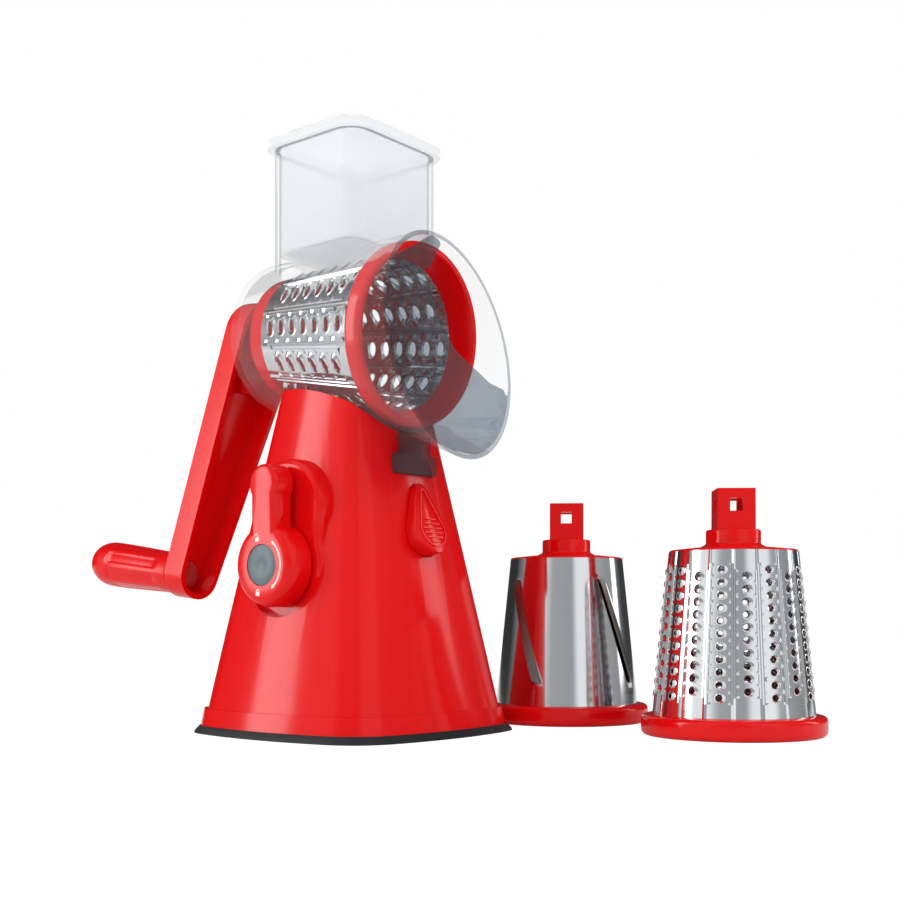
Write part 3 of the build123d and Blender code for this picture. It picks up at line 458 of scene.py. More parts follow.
def booleanMesh(base, tool, operation, selfUnion=False):
    # joins or cuts two scratch objects and returns the resulting mesh
    step = base.modifiers.new("combine", "BOOLEAN")
    step.operation = operation
    step.object = tool
    step.solver = "EXACT"
    step.use_self = selfUnion
    graph = bpy.context.evaluated_depsgraph_get()
    mesh = bpy.data.meshes.new_from_object(base.evaluated_get(graph), depsgraph=graph)
    for item in (base, tool):
        old = item.data
        bpy.data.objects.remove(item)
        bpy.data.meshes.remove(old)
    return mesh


# ---- drums
drum = {
    "flangeRadius": 40.7, "flangeLength": 9.5, "length": 81.0, "throat": 37.3,
    "coneLarge": 35.3, "coneSmall": 28.0, "sheet": 0.6, "sleeve": 2.5, "sleeveWall": 0.9,
    "collar": 12.0, "collarLength": 7.5, "shaft": 16.6, "shaftLength": 18.0, "window": 5.6,
    "windowDrop": 7.2, "bore": 5.0,
}
coneSlope = (drum["coneLarge"] - drum["coneSmall"]) / (drum["length"] - drum["flangeLength"])
coneLean = math.atan(coneSlope)


def coneRadius(distance):
    return drum["coneLarge"] - (distance - drum["flangeLength"]) * coneSlope


def drumRing(prefix, body, place):
    inside = coneRadius(drum["flangeLength"] + drum["sleeve"]) - drum["sheet"] - 0.05
    outline = roundCorners([
        (drum["throat"], 0), (drum["flangeRadius"], 0), (drum["flangeRadius"], drum["flangeLength"] - 0.9),
        (coneRadius(drum["flangeLength"]) + 1.2, drum["flangeLength"]),
        (coneRadius(drum["flangeLength"]) - drum["sheet"] - 0.05, drum["flangeLength"]),
        (inside, drum["flangeLength"] + drum["sleeve"]),
        (inside - drum["sleeveWall"], drum["flangeLength"] + drum["sleeve"]),
    ], [1.2, 2.6, 2.4, 0, 0, 0, 0], 6)
    bm = spinProfile(outline)
    finishPiece(bm, prefix + "Ring", redPlastic, body, (prefix + "_ring",), place, smooth=50)


def drumCap(prefix, body, place, band):
    # brim, dome, collar and the hollow square shaft with its four windows
    top = drum["length"]
    start = top + 2.4 + drum["collarLength"]
    steelEnd = top - band
    skirt = coneRadius(steelEnd) - drum["sheet"] - 0.05
    outline = [
        (0.0, top - 2.2), (skirt - 2.2, top - 2.2), (skirt - 1.7, steelEnd - 5.0), (skirt + 0.4,
            steelEnd - 5.0),
        (skirt, steelEnd), (coneRadius(steelEnd), steelEnd), (coneRadius(top + 0.8), top + 0.8),
        (drum["collar"] + 2.6, top + 2.2), (drum["collar"], top + 3.6), (drum["collar"], start), (0.0, start),
    ]
    outline = roundCorners(outline, [0, 0, 0, 0, 0, 0, 0.7, 1.6, 1.0, 0.8, 0], 3)
    bm = spinProfile(outline, 96)
    half = drum["shaft"] / 2
    bmesh.ops.create_cube(bm, size=1, matrix=Matrix.Translation(
        (0, 0, start + drum["shaftLength"] / 2 - 1)) @ Matrix.Diagonal(
        (drum["shaft"], drum["shaft"], drum["shaftLength"] + 2, 1)))
    capBody = objectFrom(bm, "capBody")
    cutters = bmesh.new()
    window = drum["window"]
    height = start + drum["shaftLength"] - drum["windowDrop"]
    for size in ((4 * half, window), (window, 4 * half)):
        bmesh.ops.create_cube(cutters, size=1, matrix=Matrix.Translation((0, 0, height)) @ Matrix.Diagonal(
            (size[0], size[1], window, 1)))
    bmesh.ops.create_cube(cutters, size=1, matrix=Matrix.Translation(
        (0, 0, start + drum["shaftLength"] / 2 - 1)) @ Matrix.Diagonal(
        (2 * drum["bore"], 2 * drum["bore"], drum["shaftLength"] + drum["collarLength"], 1)))
    result = booleanMesh(capBody, objectFrom(cutters, "capCuts"), "DIFFERENCE", selfUnion=True)
    placeMesh(result, place)
    finishMesh(result, prefix + "Cap", redPlastic, body, (prefix + "_cap",), 32, 0.45, 2)


def placeMesh(mesh, place):
    mesh.transform((Matrix.Diagonal((mm, mm, mm, 1)) @ place) if place else Matrix.Diagonal((mm, mm, mm, 1)))


def wrapOnCone(bm):
    # bends (degrees, distance, height) onto the steel's surface
    for vert in bm.verts:
        turn, along, height = vert.co
        radius = coneRadius(along) + height * math.cos(coneLean)
        angle = math.radians(turn)
        vert.co = (radius * math.cos(angle), radius * math.sin(angle), along + height * math.sin(coneLean))


def toothCell(bm, centre, cell, hole, tooth, rimPoints=20):
    # one cell of the sheet with its hole; the rim is raised towards the larger turn, as a tooth
    turn, along = centre
    degrees = 1 / (math.radians(1) * coneRadius(along))      # degrees in a millimetre here
    halfTurn, halfAlong = cell[0] / 2 / degrees, cell[1] / 2
    rings = [[] for _ in range(5)]
    diagonal = math.atan2(halfAlong, halfTurn)
    corners = {}
    for angle, signs in ((diagonal, (1, 1)), (math.pi - diagonal, (-1, 1)),
                         (math.pi + diagonal, (-1, -1)), (math.tau - diagonal, (1, -1))):
        corners[round(angle / math.tau * rimPoints - 0.5) % rimPoints] = signs
    for index in range(rimPoints):
        angle = math.tau * (index + 0.5) / rimPoints
        x, y = math.cos(angle), math.sin(angle)
        raised = ((1 + x) / 2) ** 1.5
        stretch = min(halfTurn / max(abs(x), 1e-6), halfAlong / max(abs(y), 1e-6))
        spots = [(x * stretch, y * stretch, 0)]
        if index in corners:
            spots = [(corners[index][0] * halfTurn, corners[index][1] * halfAlong, 0)]
        for out, height in ((1.2, 0.0), (1.0, 0.0), (0.45, 0.45), (0.0, 1.0)):
            reach = out * (tooth["skirt"] + tooth["skirtBehind"] * raised)
            spots.append((
                max(-halfTurn * 0.96, min(halfTurn * 0.96, x * (hole[0] + reach))),
                max(-halfAlong * 0.94, min(halfAlong * 0.94, y * (hole[1] + min(reach, tooth["skirt"])))),
                tooth["lift"] * height * (0.12 + 0.88 * raised)))
        for ring, (across, up, height) in zip(rings, spots):
            ring.append(bm.verts.new((turn + across * degrees, along + up, height)))
    bridge(bm, rings)


def plainCell(bm, turnLow, turnHigh, low, high, steps=3):
    # an unpunched rectangle of the sheet
    rows = []
    for along in (low, high):
        rows.append([bm.verts.new((turnLow + (turnHigh - turnLow) * step / steps, along, 0))
                     for step in range(steps + 1)])
    for step in range(steps):
        bm.faces.new((rows[0][step], rows[0][step + 1], rows[1][step + 1], rows[1][step]))


def sheetThickness(bm):
    # closes the sheet inwards
    bmesh.ops.remove_doubles(bm, verts=bm.verts, dist=0.004)
    bmesh.ops.solidify(bm, geom=bm.faces[:], thickness=drum["sheet"] * 0.9)


def smoothSheet(piece, place):
    # between the holes the sheet is shaded as the true cone, whatever its faces
    mesh = piece.data
    back, spin = place.inverted(), place.to_3x3()
    normals = [Vector(item.vector) for item in mesh.corner_normals]
    for loop, corner in enumerate(mesh.loops):
        spot = back @ (mesh.vertices[corner.vertex_index].co / mm)
        radius = math.hypot(spot.x, spot.y)
        outward = spin @ Vector((
            spot.x / radius * math.cos(coneLean), spot.y / radius * math.cos(coneLean), math.sin(coneLean)))
        if abs(radius - coneRadius(spot.z)) < 0.03 and normals[loop].dot(outward) > 0.75:
            normals[loop] = outward
    mesh.normals_split_custom_set(normals)


def punchedCone(prefix, body, place, spec):
    # columns of raised holes between plain margins
    steelEnd = drum["length"] - spec["band"]
    low, high = drum["flangeLength"], steelEnd
    width = 360 / spec["columns"]
    bm = bmesh.new()
    for column in range(spec["columns"]):
        count = spec["count"] - column % 2
        turn = width * (column + spec["phase"])
        first = (low + high) / 2 + spec["shift"] - spec["pitch"] * count / 2
        last = first + spec["pitch"] * count
        near = width * spec["share"] / 2
        plainCell(bm, turn - width / 2, turn - near, first, last, 2)
        plainCell(bm, turn + near, turn + width / 2, first, last, 2)
        plainCell(bm, turn - width / 2, turn + width / 2, low, first, 6)
        for row in range(count):
            toothCell(bm, (turn, first + spec["pitch"] * (row + 0.5)), (2 * near, spec["pitch"]),
                      spec["hole"], spec["tooth"])
        plainCell(bm, turn - width / 2, turn + width / 2, last, high, 6)
    wrapOnCone(bm)
    sheetThickness(bm)
    piece = finishPiece(
        bm, prefix + "Steel", drumSteel, body, (prefix + "_cone",), place, smooth=45)
    smoothSheet(piece, place)


def slicingCone(prefix, body, place, spec):
    # a sheared grid whose lines run along the slots: each slot is left open and the flap beside it stands up
    low, high = drum["flangeLength"], drum["length"]
    step = spec["stepTurn"]
    every = 360 / spec["slots"]
    degree = math.radians(1) * coneRadius((low + high) / 2)      # one degree in millimetres, half way up
    slope = -math.tan(math.radians(spec["lean"])) * (high - low) / degree
    bm = bmesh.new()
    columns, rows = round(360 / step), 48
    grid = []
    for row in range(rows + 1):
        along = low + (high - low) * row / rows
        grid.append([bm.verts.new((column * step + slope * (row / rows - 0.5), along, 0))
                     for column in range(columns + 1)])
    middle = (low + high) / 2
    for row in range(rows):
        for column in range(columns):
            along = low + (high - low) * (row + 0.5) / rows
            inside = abs(along - middle) < spec["length"] / 2
            offset = (column - columns // spec["slots"] // 2) % (columns // spec["slots"])
            if inside and offset < spec["slotSteps"]:
                continue
            face = bm.faces.new((grid[row][column], grid[row][column + 1],
                                 grid[row + 1][column + 1], grid[row + 1][column]))
            if inside and offset < spec["slotSteps"] + spec["flapSteps"]:
                face.material_index = 1
    for row in grid:
        for column, vert in enumerate(row):
            offset = (column - columns // spec["slots"] // 2) % (columns // spec["slots"]) - spec["slotSteps"]
            share = 1 - offset / spec["flapSteps"]
            taper = min(1, (spec["length"] / 2 + 0.6 - abs(vert.co.y - middle)) / 2.4)
            if 0 <= share <= 1 and taper > 0:
                vert.co.z = spec["blade"] * share * math.sqrt(taper)
    wrapOnCone(bm)
    sheetThickness(bm)
    finishPiece(bm, prefix + "Steel", (drumSteel, edgeSteel), body, (prefix + "_cone",), place,
                smooth=40)


coarseHoles = {
    "columns": 12, "share": 0.8, "count": 7, "pitch": 8.0, "hole": (3.5, 2.0), "band": 8.0, "phase": 0,
    "shift": 0.6,
    "tooth": {"lift": 1.5, "skirt": 0.8, "skirtBehind": 1.4},
}
fineHoles = {
    "columns": 18, "share": 0.8, "count": 11, "pitch": 5.42, "hole": (1.6, 1.6), "band": 0.0, "phase": 0,
    "shift": 0.0,
    "tooth": {"lift": 0.95, "skirt": 0.5, "skirtBehind": 1.4},
}
slots = {"slots": 4, "length": 50.0, "lean": 18.5, "stepTurn": 1.5, "slotSteps": 1, "flapSteps": 5,
    "blade": 1.5}

drumRing("coarse_drum", "rotor", drumPlace)
drumCap("coarse_drum", "rotor", drumPlace, 8.0)
punchedCone("coarse_drum", "rotor", drumPlace, coarseHoles)
finePlace = sparePlace(spares["fine"])
drumRing("fine_drum", "fine_drum", finePlace)
drumCap("fine_drum", "fine_drum", finePlace, 0.0)
punchedCone("fine_drum", "fine_drum", finePlace, fineHoles)
slicingPlace = sparePlace(spares["slicing"])
drumRing("slicing_drum", "slicing_drum", slicingPlace)
drumCap("slicing_drum", "slicing_drum", slicingPlace, 0.0)
slicingCone("slicing_drum", "slicing_drum", slicingPlace, slots)
print("drums made")

# ---- tower and foot
tower = {
    "footHalf": 62.9, "footTopHalf": 60.6, "footHeight": 3.3, "discHole": 37.3, "bandTop": 11.0,
    "bandLow": 60.2,
    "bandHigh": 58.9, "half": 57.4, "slope": 0.2006, "wall": 2.5, "corner": 0.418, "bow": 3.0, "top": 176.8,
    "saddleGap": 0.2, "postReach": 39.6, "postRadius": 4.5, "postTop": 30.0,
}
pad = {"x": -44.3, "z": 74.5, "radius": 22.5, "tipRadius": 21.5, "rise": 25.5, "waist": 20.5, "reach": 16.0,
       "hole": 7.06}
latch = {"z": 89.5, "radius": 10.8, "tip": 4.3, "rise": 17.8, "gap": 0.4, "proudLow": 7.2, "proudHigh": 2.4}
tongue = {"front": -38.5, "thick": 4.0, "low": 115.5, "high": 133.9, "barHalf": 13.0, "barHeight": 8.5,
          "stemHalf": 8.7, "gap": 0.3}
housing = {
    "front": 43.7, "rear": 35.1, "length": 86.8, "inner": 84.6, "wall": 2.0, "boss": 14.4, "bossLength": 4.0,
    "bore": 12.06, "chute": (60.8, 55.6, 11.0), "chuteStart": 184.8, "chuteTop": 265.5, "ledge": (197.5,
        202.5),
    "ledgeStep": 2.0, "lipY": -57.0, "lipZ": 170.7, "lipHalf": (42.3, 51.3), "lipLean": 10.2,
}


def towerHalf(z):
    return tower["half"] - (z - tower["bandTop"]) * tower["slope"]


def bowedRing(half, z, sideSteps=10, cornerSteps=12):
    # a square with rounded corners and slightly bowed sides
    corner, bow = tower["corner"] * half, tower["bow"] * half
    centre = half - bow
    middle = (centre + math.sqrt(2 * (bow - corner) ** 2 - centre ** 2)) / 2
    spread = math.degrees(math.atan2(middle, middle - centre))
    quarter = arcPoints(bow, -spread, spread, sideSteps, (centre, 0))[:-1]
    quarter += arcPoints(corner, spread, 90 - spread, cornerSteps, (middle, middle))[:-1]
    points = []
    for turn in range(4):
        spin = Matrix.Rotation(math.radians(90 * turn), 2)
        points += [(*(spin @ Vector(point)), z) for point in quarter]
    return points


def housingRadius(distance):
    return housing["front"] - distance * (housing["front"] - housing["rear"]) / housing["length"]


def aroundHousing(extra):
    # the housing's cone, grown and run on past both sides of the tower
    rings = []
    for distance in (-45, 130):
        rings.append([drumPlace @ Vector((x, y, distance))
                      for x, y in circlePoints(housingRadius(distance) + extra, 120)])
    return loftSolid(rings)


def keyholePoints(extra=0.0):
    low, tip, waist = pad["radius"] + extra, pad["tipRadius"] + extra, pad["waist"] + extra
    lowAngle = math.degrees(math.acos(waist / low))
    tipAngle = math.degrees(math.acos(waist / tip))
    return arcPoints(low, 180 - lowAngle, 360 + lowAngle, 48) + arcPoints(
        tip, -tipAngle, 180 + tipAngle, 48, (0, pad["rise"]))


padPlace = planeMatrix((pad["x"], 0, pad["z"]), (0, -1, 0), (-1, 0, 0))
wallLean = math.atan(tower["slope"])
latchPlace = planeMatrix((0, -towerHalf(latch["z"]), latch["z"]), (1, 0, 0), (0, -math.cos(wallLean),
    math.sin(wallLean)))
crossPlace = planeMatrix((33.0, 0, pad["z"]), (0, 1, 0), (1, 0, 0))


def towerShell():
    wall = tower["wall"]
    pocketBack = tongue["front"] + tongue["thick"] + tongue["gap"]
    outer = loftSolid([
        bowedRing(tower["bandLow"], tower["footHeight"]), bowedRing(tower["bandHigh"], tower["bandTop"]),
        bowedRing(tower["half"], tower["bandTop"]), bowedRing(towerHalf(tower["top"]), tower["top"])])
    boss = loftSolid([[padPlace @ Vector((x, y, along)) for x, y in keyholePoints(extra)]
                      for along, extra in ((-pad["reach"], 0), (-3, 0), (-1, -0.8), (0, -2.5))])
    solid = combine(outer, boss, "UNION")
    inner = loftSolid([bowedRing(towerHalf(z) - wall, z) for z in (tower["footHeight"] - 1,
        tower["top"] + 1)])
    keep = joined(
        prism(keyholePoints(wall), padPlace, -wall, pad["reach"]), aroundHousing(wall),
        box((-tongue["barHalf"] - wall, -70, tongue["low"] - wall - 1), (
            tongue["barHalf"] + wall, pocketBack + wall, tongue["high"] + 2 * wall)))
    cavity = combine(inner, keep, "DIFFERENCE")
    bar, stem, gap = tongue["barHalf"], tongue["stemHalf"], tongue["gap"]
    cuts = joined(
        cavity, prism(keyholePoints(), padPlace, 0, pad["reach"]), aroundHousing(tower["saddleGap"]),
        box((-bar - gap, -70, tongue["low"] - gap), (bar + gap, pocketBack,
            tongue["low"] + tongue["barHeight"] + gap)),
        box((-stem - gap, -70, tongue["low"] - gap), (stem + gap, pocketBack, tongue["high"] + 4)),
        prism(teardropPoints(latch["radius"], latch["tip"], latch["rise"], latch["gap"]), latchPlace, -8, 9),
        prism(circlePoints(pad["hole"]), padPlace, -5, 1))
    shell = combine(joined(solid), cuts, "DIFFERENCE")
    reach = tower["postReach"]
    posts = [prism(circlePoints(tower["postRadius"], 20, (x, y)), Matrix.Identity(4), 6.3, tower["postTop"])
             for x in (-reach, reach) for y in (-reach, reach)]
    posts.append(prism(circlePoints(7.5, 32), crossPlace, 0, 9.6))
    whole = combine(joined(shell), joined(*posts), "UNION")
    finishPiece(cleanMesh(whole), "towerShell", redPlastic, "stand", ("stand_shell",), None,
        28, 0.5, 3)


def suctionFoot():
    rim = loftSolid([bowedRing(tower["footHalf"], 0), bowedRing(tower["footHalf"] - 0.3, 0.9),
                     bowedRing(tower["footTopHalf"], tower["footHeight"])])
    hole = prism(circlePoints(tower["discHole"]), Matrix.Identity(4), -1, 5)
    bm = cleanMesh(combine(rim, hole, "DIFFERENCE"))
    finishPiece(bm, "suctionFoot", blackRubber, "stand", ("suction_foot",), None, 28)


towerShell()
suctionFoot()
print("tower made")


# ---- clear housing
lipLean = math.radians(housing["lipLean"])
lipPlace = planeMatrix(
    (0, housing["lipY"], housing["lipZ"]), (1, 0, 0), (0, -math.cos(lipLean), math.sin(lipLean)))


def housingForm(inset, length):
    steps = 120
    half, tall = housing["lipHalf"]
    rings = []
    for distance in (length, 0):
        rings.append([drumPlace @ Vector((x, y, distance))
                      for x, y in circlePoints(housingRadius(distance) - inset, steps)])
    squash = -(tall - inset) / (half - inset)
    rim = [lipPlace @ Vector((x, y, 0)) for x, y in circlePoints(half - inset, steps, squash=squash)]
    front = rings[-1]
    for share in (0.25, 0.5, 0.75, 1.0):
        # the flare opens gently at first
        rings.append([a.lerp(b, share) for a, b in zip(front, rim)])
    return loftSolid(rings)


def clearHousing():
    width, depth, corner = housing["chute"]
    wall, step, flat = housing["wall"], housing["ledgeStep"], Matrix.Identity(4)
    top, low = housing["chuteTop"], housing["chuteStart"]
    bar, stem = tongue["barHalf"], tongue["stemHalf"]
    back = tongue["front"] + tongue["thick"]
    extras = joined(
        prism(roundedRect(width, depth, corner), flat, low, top),
        prism(roundedRect(width + 2 * step, depth + 2 * step, corner), flat, *housing["ledge"]),
        prism(circlePoints(housing["boss"]), drumPlace, housing["inner"],
            housing["length"] + housing["bossLength"]),
        box((-bar, tongue["front"], tongue["low"]), (bar, back, tongue["low"] + tongue["barHeight"])),
        box((-stem, tongue["front"], tongue["low"]), (stem, back, tongue["high"])))
    solid = combine(housingForm(0, housing["length"]), extras, "UNION")
    hollow = joined(
        housingForm(wall, housing["inner"]),
        prism(roundedRect(width - 2 * wall, depth - 2 * wall, corner - wall), flat, low, top + 1),
        prism(circlePoints(housing["bore"]), drumPlace, housing["inner"] - 1, housing["length"] + 6))
    bm = cleanMesh(combine(joined(solid), hollow, "DIFFERENCE"))
    toLip = lipPlace.inverted()
    for face in bm.faces:
        spot = face.calc_center_median()
        ahead = tongue["front"] - 0.5 < spot.y < back + 0.5
        # the tongue's faces get the darker copy, which is painted pocket shade
        if ahead and spot.z < tongue["high"] + 1 and abs(spot.x) < bar + 1:
            face.material_index = 1
        # the lip's rim and the chute's top edge get the darker copy, which is painted shade
        elif abs((toLip @ spot).z) < 0.3 or spot.z > top - 0.3:
            face.material_index = 2
    finishPiece(bm, "clearHousing", (clearShell, shadedClearTongue, shadedClearEdge), "stand", ("feed_housing",),
        None, 28)


clearHousing()
dressNode("food_pusher", "foodPusher", milkyPlastic, 30, 0.5)
print("housing made")

# ---- suction lever with its printed marks
lever = {
    "faceX": -58.0, "hub": 18.0, "hubFace": 14.8, "shoulder": 5.5, "depth": 13.2, "handleDepth": 10.7,
    "stem": 7.0,
    "knob": 8.5, "knobRise": 35.0, "round": 2.2, "cap": 8.9, "capDepth": 2.2, "screw": 3.1, "screwDepth": 3.9,
    "markHeight": 0.05, "arcInner": 11.4, "arcOuter": 12.2, "arcEnd": 50, "lockAt": 11.9,
}
leverPlace = planeMatrix((lever["faceX"], 0, pad["z"]), (0, -1, 0), (-1, 0, 0))


def handlePoints(inset):
    stem, knob, rise = lever["stem"] - inset, lever["knob"] - inset, lever["knobRise"]
    angle = math.degrees(math.acos(stem / knob))
    return [(-stem, 0), (stem, 0)] + arcPoints(knob, -angle, 180 + angle, 40, (0, rise))


def suctionLever():
    rounding = lever["round"]
    depths = [rounding * (1 - math.cos(math.radians(angle))) for angle in (0, 20, 40, 60, 90)]
    rings = []
    for depth in [0] + depths[1:] + [lever["handleDepth"]]:
        inset = rounding - math.sqrt(max(0, rounding ** 2 - max(0, rounding - depth) ** 2))
        rings.append([leverPlace @ Vector((x, y, -depth)) for x, y in handlePoints(inset)])
    handle = loftSolid(rings)
    hub, face, shoulder = lever["hub"], lever["hubFace"], lever["shoulder"]
    profile = [(0, 0), (face - 1.2, 0)]
    profile += [(face - 1.2 + (hub - face + 1.2) * math.sin(math.radians(angle)),
                 -shoulder * (1 - math.cos(math.radians(angle)))) for angle in range(15, 91, 15)]
    profile += [(hub, -lever["depth"] + 0.8), (hub - 0.8, -lever["depth"]), (0, -lever["depth"])]
    body = spinProfile(profile, 96, False)
    bmesh.ops.transform(body, matrix=leverPlace, verts=body.verts)
    bmesh.ops.recalc_face_normals(body, faces=body.faces)
    solid = combine(body, handle, "UNION")
    cuts = joined(prism(circlePoints(lever["cap"] + 0.1), leverPlace, -lever["capDepth"], 1),
                  prism(circlePoints(lever["screw"], 24), leverPlace, -lever["screwDepth"], 1),
                  prism([(-3.55, -3.55), (3.55, -3.55), (3.55, 3.55), (-3.55, 3.55)], leverPlace, -14, -5.9))
    bm = cleanMesh(combine(joined(solid), cuts, "DIFFERENCE"))
    finishPiece(bm, "suctionLever", redPlastic, "lever", ("suction_lever",), None, 35)


def leverCap():
    radius = lever["cap"]
    profile = [(0, -0.25), (2.2, -0.25), (2.7, -0.05), (radius - 0.5, -0.05), (radius, -0.45), (radius,
        -2.2), (0, -2.2)]
    finishPiece(spinProfile(profile, 72, False), "leverCap", greyPlastic, "lever", ("lever_cap",),
                leverPlace, 50)


def markShape(points):
    return prism(points, leverPlace, -0.02, lever["markHeight"])


def padlock(angle, opened):
    # a small padlock, its shackle swung up when open
    spin = Matrix.Rotation(math.radians(angle - (90 if angle > 0 else -90)), 2)
    centre = Vector((lever["lockAt"] * math.cos(math.radians(angle)),
        lever["lockAt"] * math.sin(math.radians(angle))))
    lift = 0.5 if opened else 0.0
    body = [(-1.2, -1.5), (1.2, -1.5), (1.2, 0.2), (-1.2, 0.2)]
    shackle = arcPoints(0.95, 0, 180, 10, (0, 0.6 + lift)) + [(-0.95, 0.2)] if not opened else arcPoints(
        0.95, 0, 180, 10, (0, 0.6 + lift))
    inner = arcPoints(0.5, 0, 180, 10, (0, 0.6 + lift))
    if not opened:
        inner.append((-0.5, 0.2))
    band = [(0.95, 0.2)] + shackle + inner[::-1] + [(0.5, 0.2)]
    return [markShape([tuple(centre + spin @ Vector(point)) for point in shape]) for shape in (body, band)]


def leverMarks():
    end = lever["arcEnd"]
    arc = arcPoints(lever["arcOuter"], -end, end, 40) + arcPoints(lever["arcInner"], end, -end, 40)
    shapes = [markShape(arc)]
    middle = (lever["arcInner"] + lever["arcOuter"]) / 2
    for side in (-1, 1):
        tip = math.radians(side * (end + 9))
        root = math.radians(side * end)
        shapes.append(markShape([
            (middle * math.cos(tip), middle * math.sin(tip)),
            ((middle - 1.0) * math.cos(root), (middle - 1.0) * math.sin(root)),
            ((middle + 1.0) * math.cos(root), (middle + 1.0) * math.sin(root))]))
    shapes += padlock(103, True) + padlock(-100, False)
    finishPiece(joined(*shapes), "leverMarks", whiteInk, "lever", smooth=30)


suctionLever()
leverCap()
leverMarks()


# ---- latch button with its ribs
button = {"back": -5.1, "edge": 0.9, "ridge": 2.7, "ridgeWide": 0.75, "ridgeHigh": 0.5, "ribs": 6,
    "ribPitch": 2.1,
          "ribLow": -5.6, "ribWide": 0.8, "ribHigh": 0.5}


def latchButton():
    slope = (latch["proudLow"] - latch["proudHigh"]) / (latch["rise"] + latch["radius"] + latch["tip"])

    def frontAt(y):
        return latch["proudLow"] - slope * (y + latch["radius"])

    def ring(extra, height, onFront=True):
        points = teardropPoints(latch["radius"], latch["tip"], latch["rise"], extra)
        return [latchPlace @ Vector((x, y, (frontAt(y) if onFront else 0) + height)) for x, y in points]

    edge = button["edge"]
    body = loftSolid([ring(0, button["back"], False), ring(0, -edge), ring(-0.3 * edge, -0.3 * edge),
        ring(-edge, 0)])
    back = loftSolid([ring(1.2, button["back"], False), ring(1.2, button["back"] + 1.6, False)])
    outer, inner = -button["ridge"], -button["ridge"] - button["ridgeWide"]
    high = button["ridgeHigh"]
    ridge = bmesh.new()
    loops = [[ridge.verts.new(point) for point in ring(*spot)] for spot in (
        (outer, -0.2), (outer - 0.1, high), (inner + 0.1, high), (inner, -0.2))]
    bridge(ridge, loops + loops[:1])
    bmesh.ops.recalc_face_normals(ridge, faces=ridge.faces)
    ribs = []
    for rib in range(button["ribs"]):
        y = button["ribLow"] + rib * button["ribPitch"]
        half = math.sqrt(max(1, (latch["radius"] - button["ridge"] - 1.8) ** 2 - y ** 2)) - 0.12 * max(0, y)
        wide = button["ribWide"] / 2
        rings = []
        for lift, thin in ((-0.2, 0), (button["ribHigh"], 0.12)):
            rings.append([latchPlace @ Vector((x, y + dy, frontAt(y + dy) + lift)) for x, dy in (
                (-half + thin, -wide + thin), (half - thin, -wide + thin), (half - thin, wide - thin),
                (-half + thin, wide - thin))])
        ribs.append(loftSolid(rings))
    bm = joined(body, back, ridge, *ribs)
    finishPiece(bm, "latchButton", redPlastic, "button", ("latch_button",), None, 40)


latchButton()
print("lever and latch made")

# ---- crank grip: it swells towards its domed end and has eight sunk panels
grip = {"place": (-33.49, 116.79), "start": 112.5, "length": 55.0, "small": 9.9, "large": 11.15,
    "widest": 51.0,
        "end": 65.0, "panels": 8, "panelDepth": 0.55, "panelFrom": 7.0, "panelTo": 47.0, "bore": 4.1,
        "recess": 7.5,
        "recessDepth": 5.0}
gripPlace = drumPlace @ Matrix.Translation((*grip["place"], grip["start"]))


def gripRadius(distance):
    if distance > grip["widest"]:
        return grip["large"] * math.sqrt(max(0,
            1 - ((distance - grip["widest"]) / (grip["end"] - grip["widest"])) ** 2))
    share = distance / grip["widest"]
    return grip["small"] + (grip["large"] - grip["small"]) * share * share * (3 - 2 * share)


def smoothStep(value):
    value = max(0.0, min(1.0, value))
    return value * value * (3 - 2 * value)


def crankGrip():
    steps = 160
    rows = [(0.0, grip["small"] - 0.8, 0)]
    for index in range(61):
        distance = 0.6 + (grip["length"] - 0.6) * index / 60
        sunk = smoothStep((distance - grip["panelFrom"]) / 4) * smoothStep((grip["panelTo"] - distance) / 4)
        rows.append((distance, gripRadius(distance), sunk))
    deep = grip["length"] - grip["recessDepth"]
    rows += [(grip["length"], grip["recess"], 0), (deep, grip["recess"], 0), (deep, grip["bore"], 0), (0.0,
        grip["bore"], 0)]
    bm = bmesh.new()
    loops = []
    for distance, radius, sunk in rows:
        loop = []
        for step in range(steps):
            turn = step / steps * grip["panels"] % 1
            across = smoothStep((0.38 - abs(turn - 0.5)) / 0.16)
            reach = radius - grip["panelDepth"] * sunk * across
            angle = math.tau * step / steps
            loop.append(bm.verts.new((reach * math.cos(angle), reach * math.sin(angle), distance)))
        loops.append(loop)
    bridge(bm, loops + loops[:1])
    bmesh.ops.recalc_face_normals(bm, faces=bm.faces)
    finishPiece(bm, "crankGrip", redPlastic, "grip", ("crank_grip",), gripPlace, 50)
    length = grip["length"]
    dome = [(length + (grip["end"] - length) * math.sin(math.radians(angle))) for angle in range(0, 91, 6)]
    profile = [(0, length - 1.5), (grip["recess"] - 0.1, length - 1.5), (grip["recess"] - 0.1, length)]
    profile += [(gripRadius(distance), distance) for distance in dome[:-1]] + [(0, grip["end"])]
    finishPiece(spinProfile(profile, 96, False), "gripCap", redPlastic, "grip", ("grip_cap",),
                gripPlace, 50)


crankGrip()
dressNode("crank_arm", "crankArm", redPlastic, 30, 0.5)
print("crank made")
hidden = {
    "base_plate": blackPlastic, "base_screws": shaftSteel, "suction_membrane": blackRubber,
    "lever_bushing": blackPlastic, "lever_shaft": shaftSteel, "lift_cam": blackPlastic,
    "lever_screw": shaftSteel, "lift_yoke": blackPlastic, "cup_stud": shaftSteel,
    "grip_axle": shaftSteel, "axle_clip": shaftSteel,
}
for node, material in hidden.items():
    mesh = frame["nodes"][node].data
    mesh.materials.clear()
    mesh.materials.append(material)
print("packed nodes dressed")

# ---- floor, world, lights and camera
studio = {"floorSize": 6.0, "floorLift": 0.84, "floorDiffuse": 0.34, "worldLevel": 0.55}


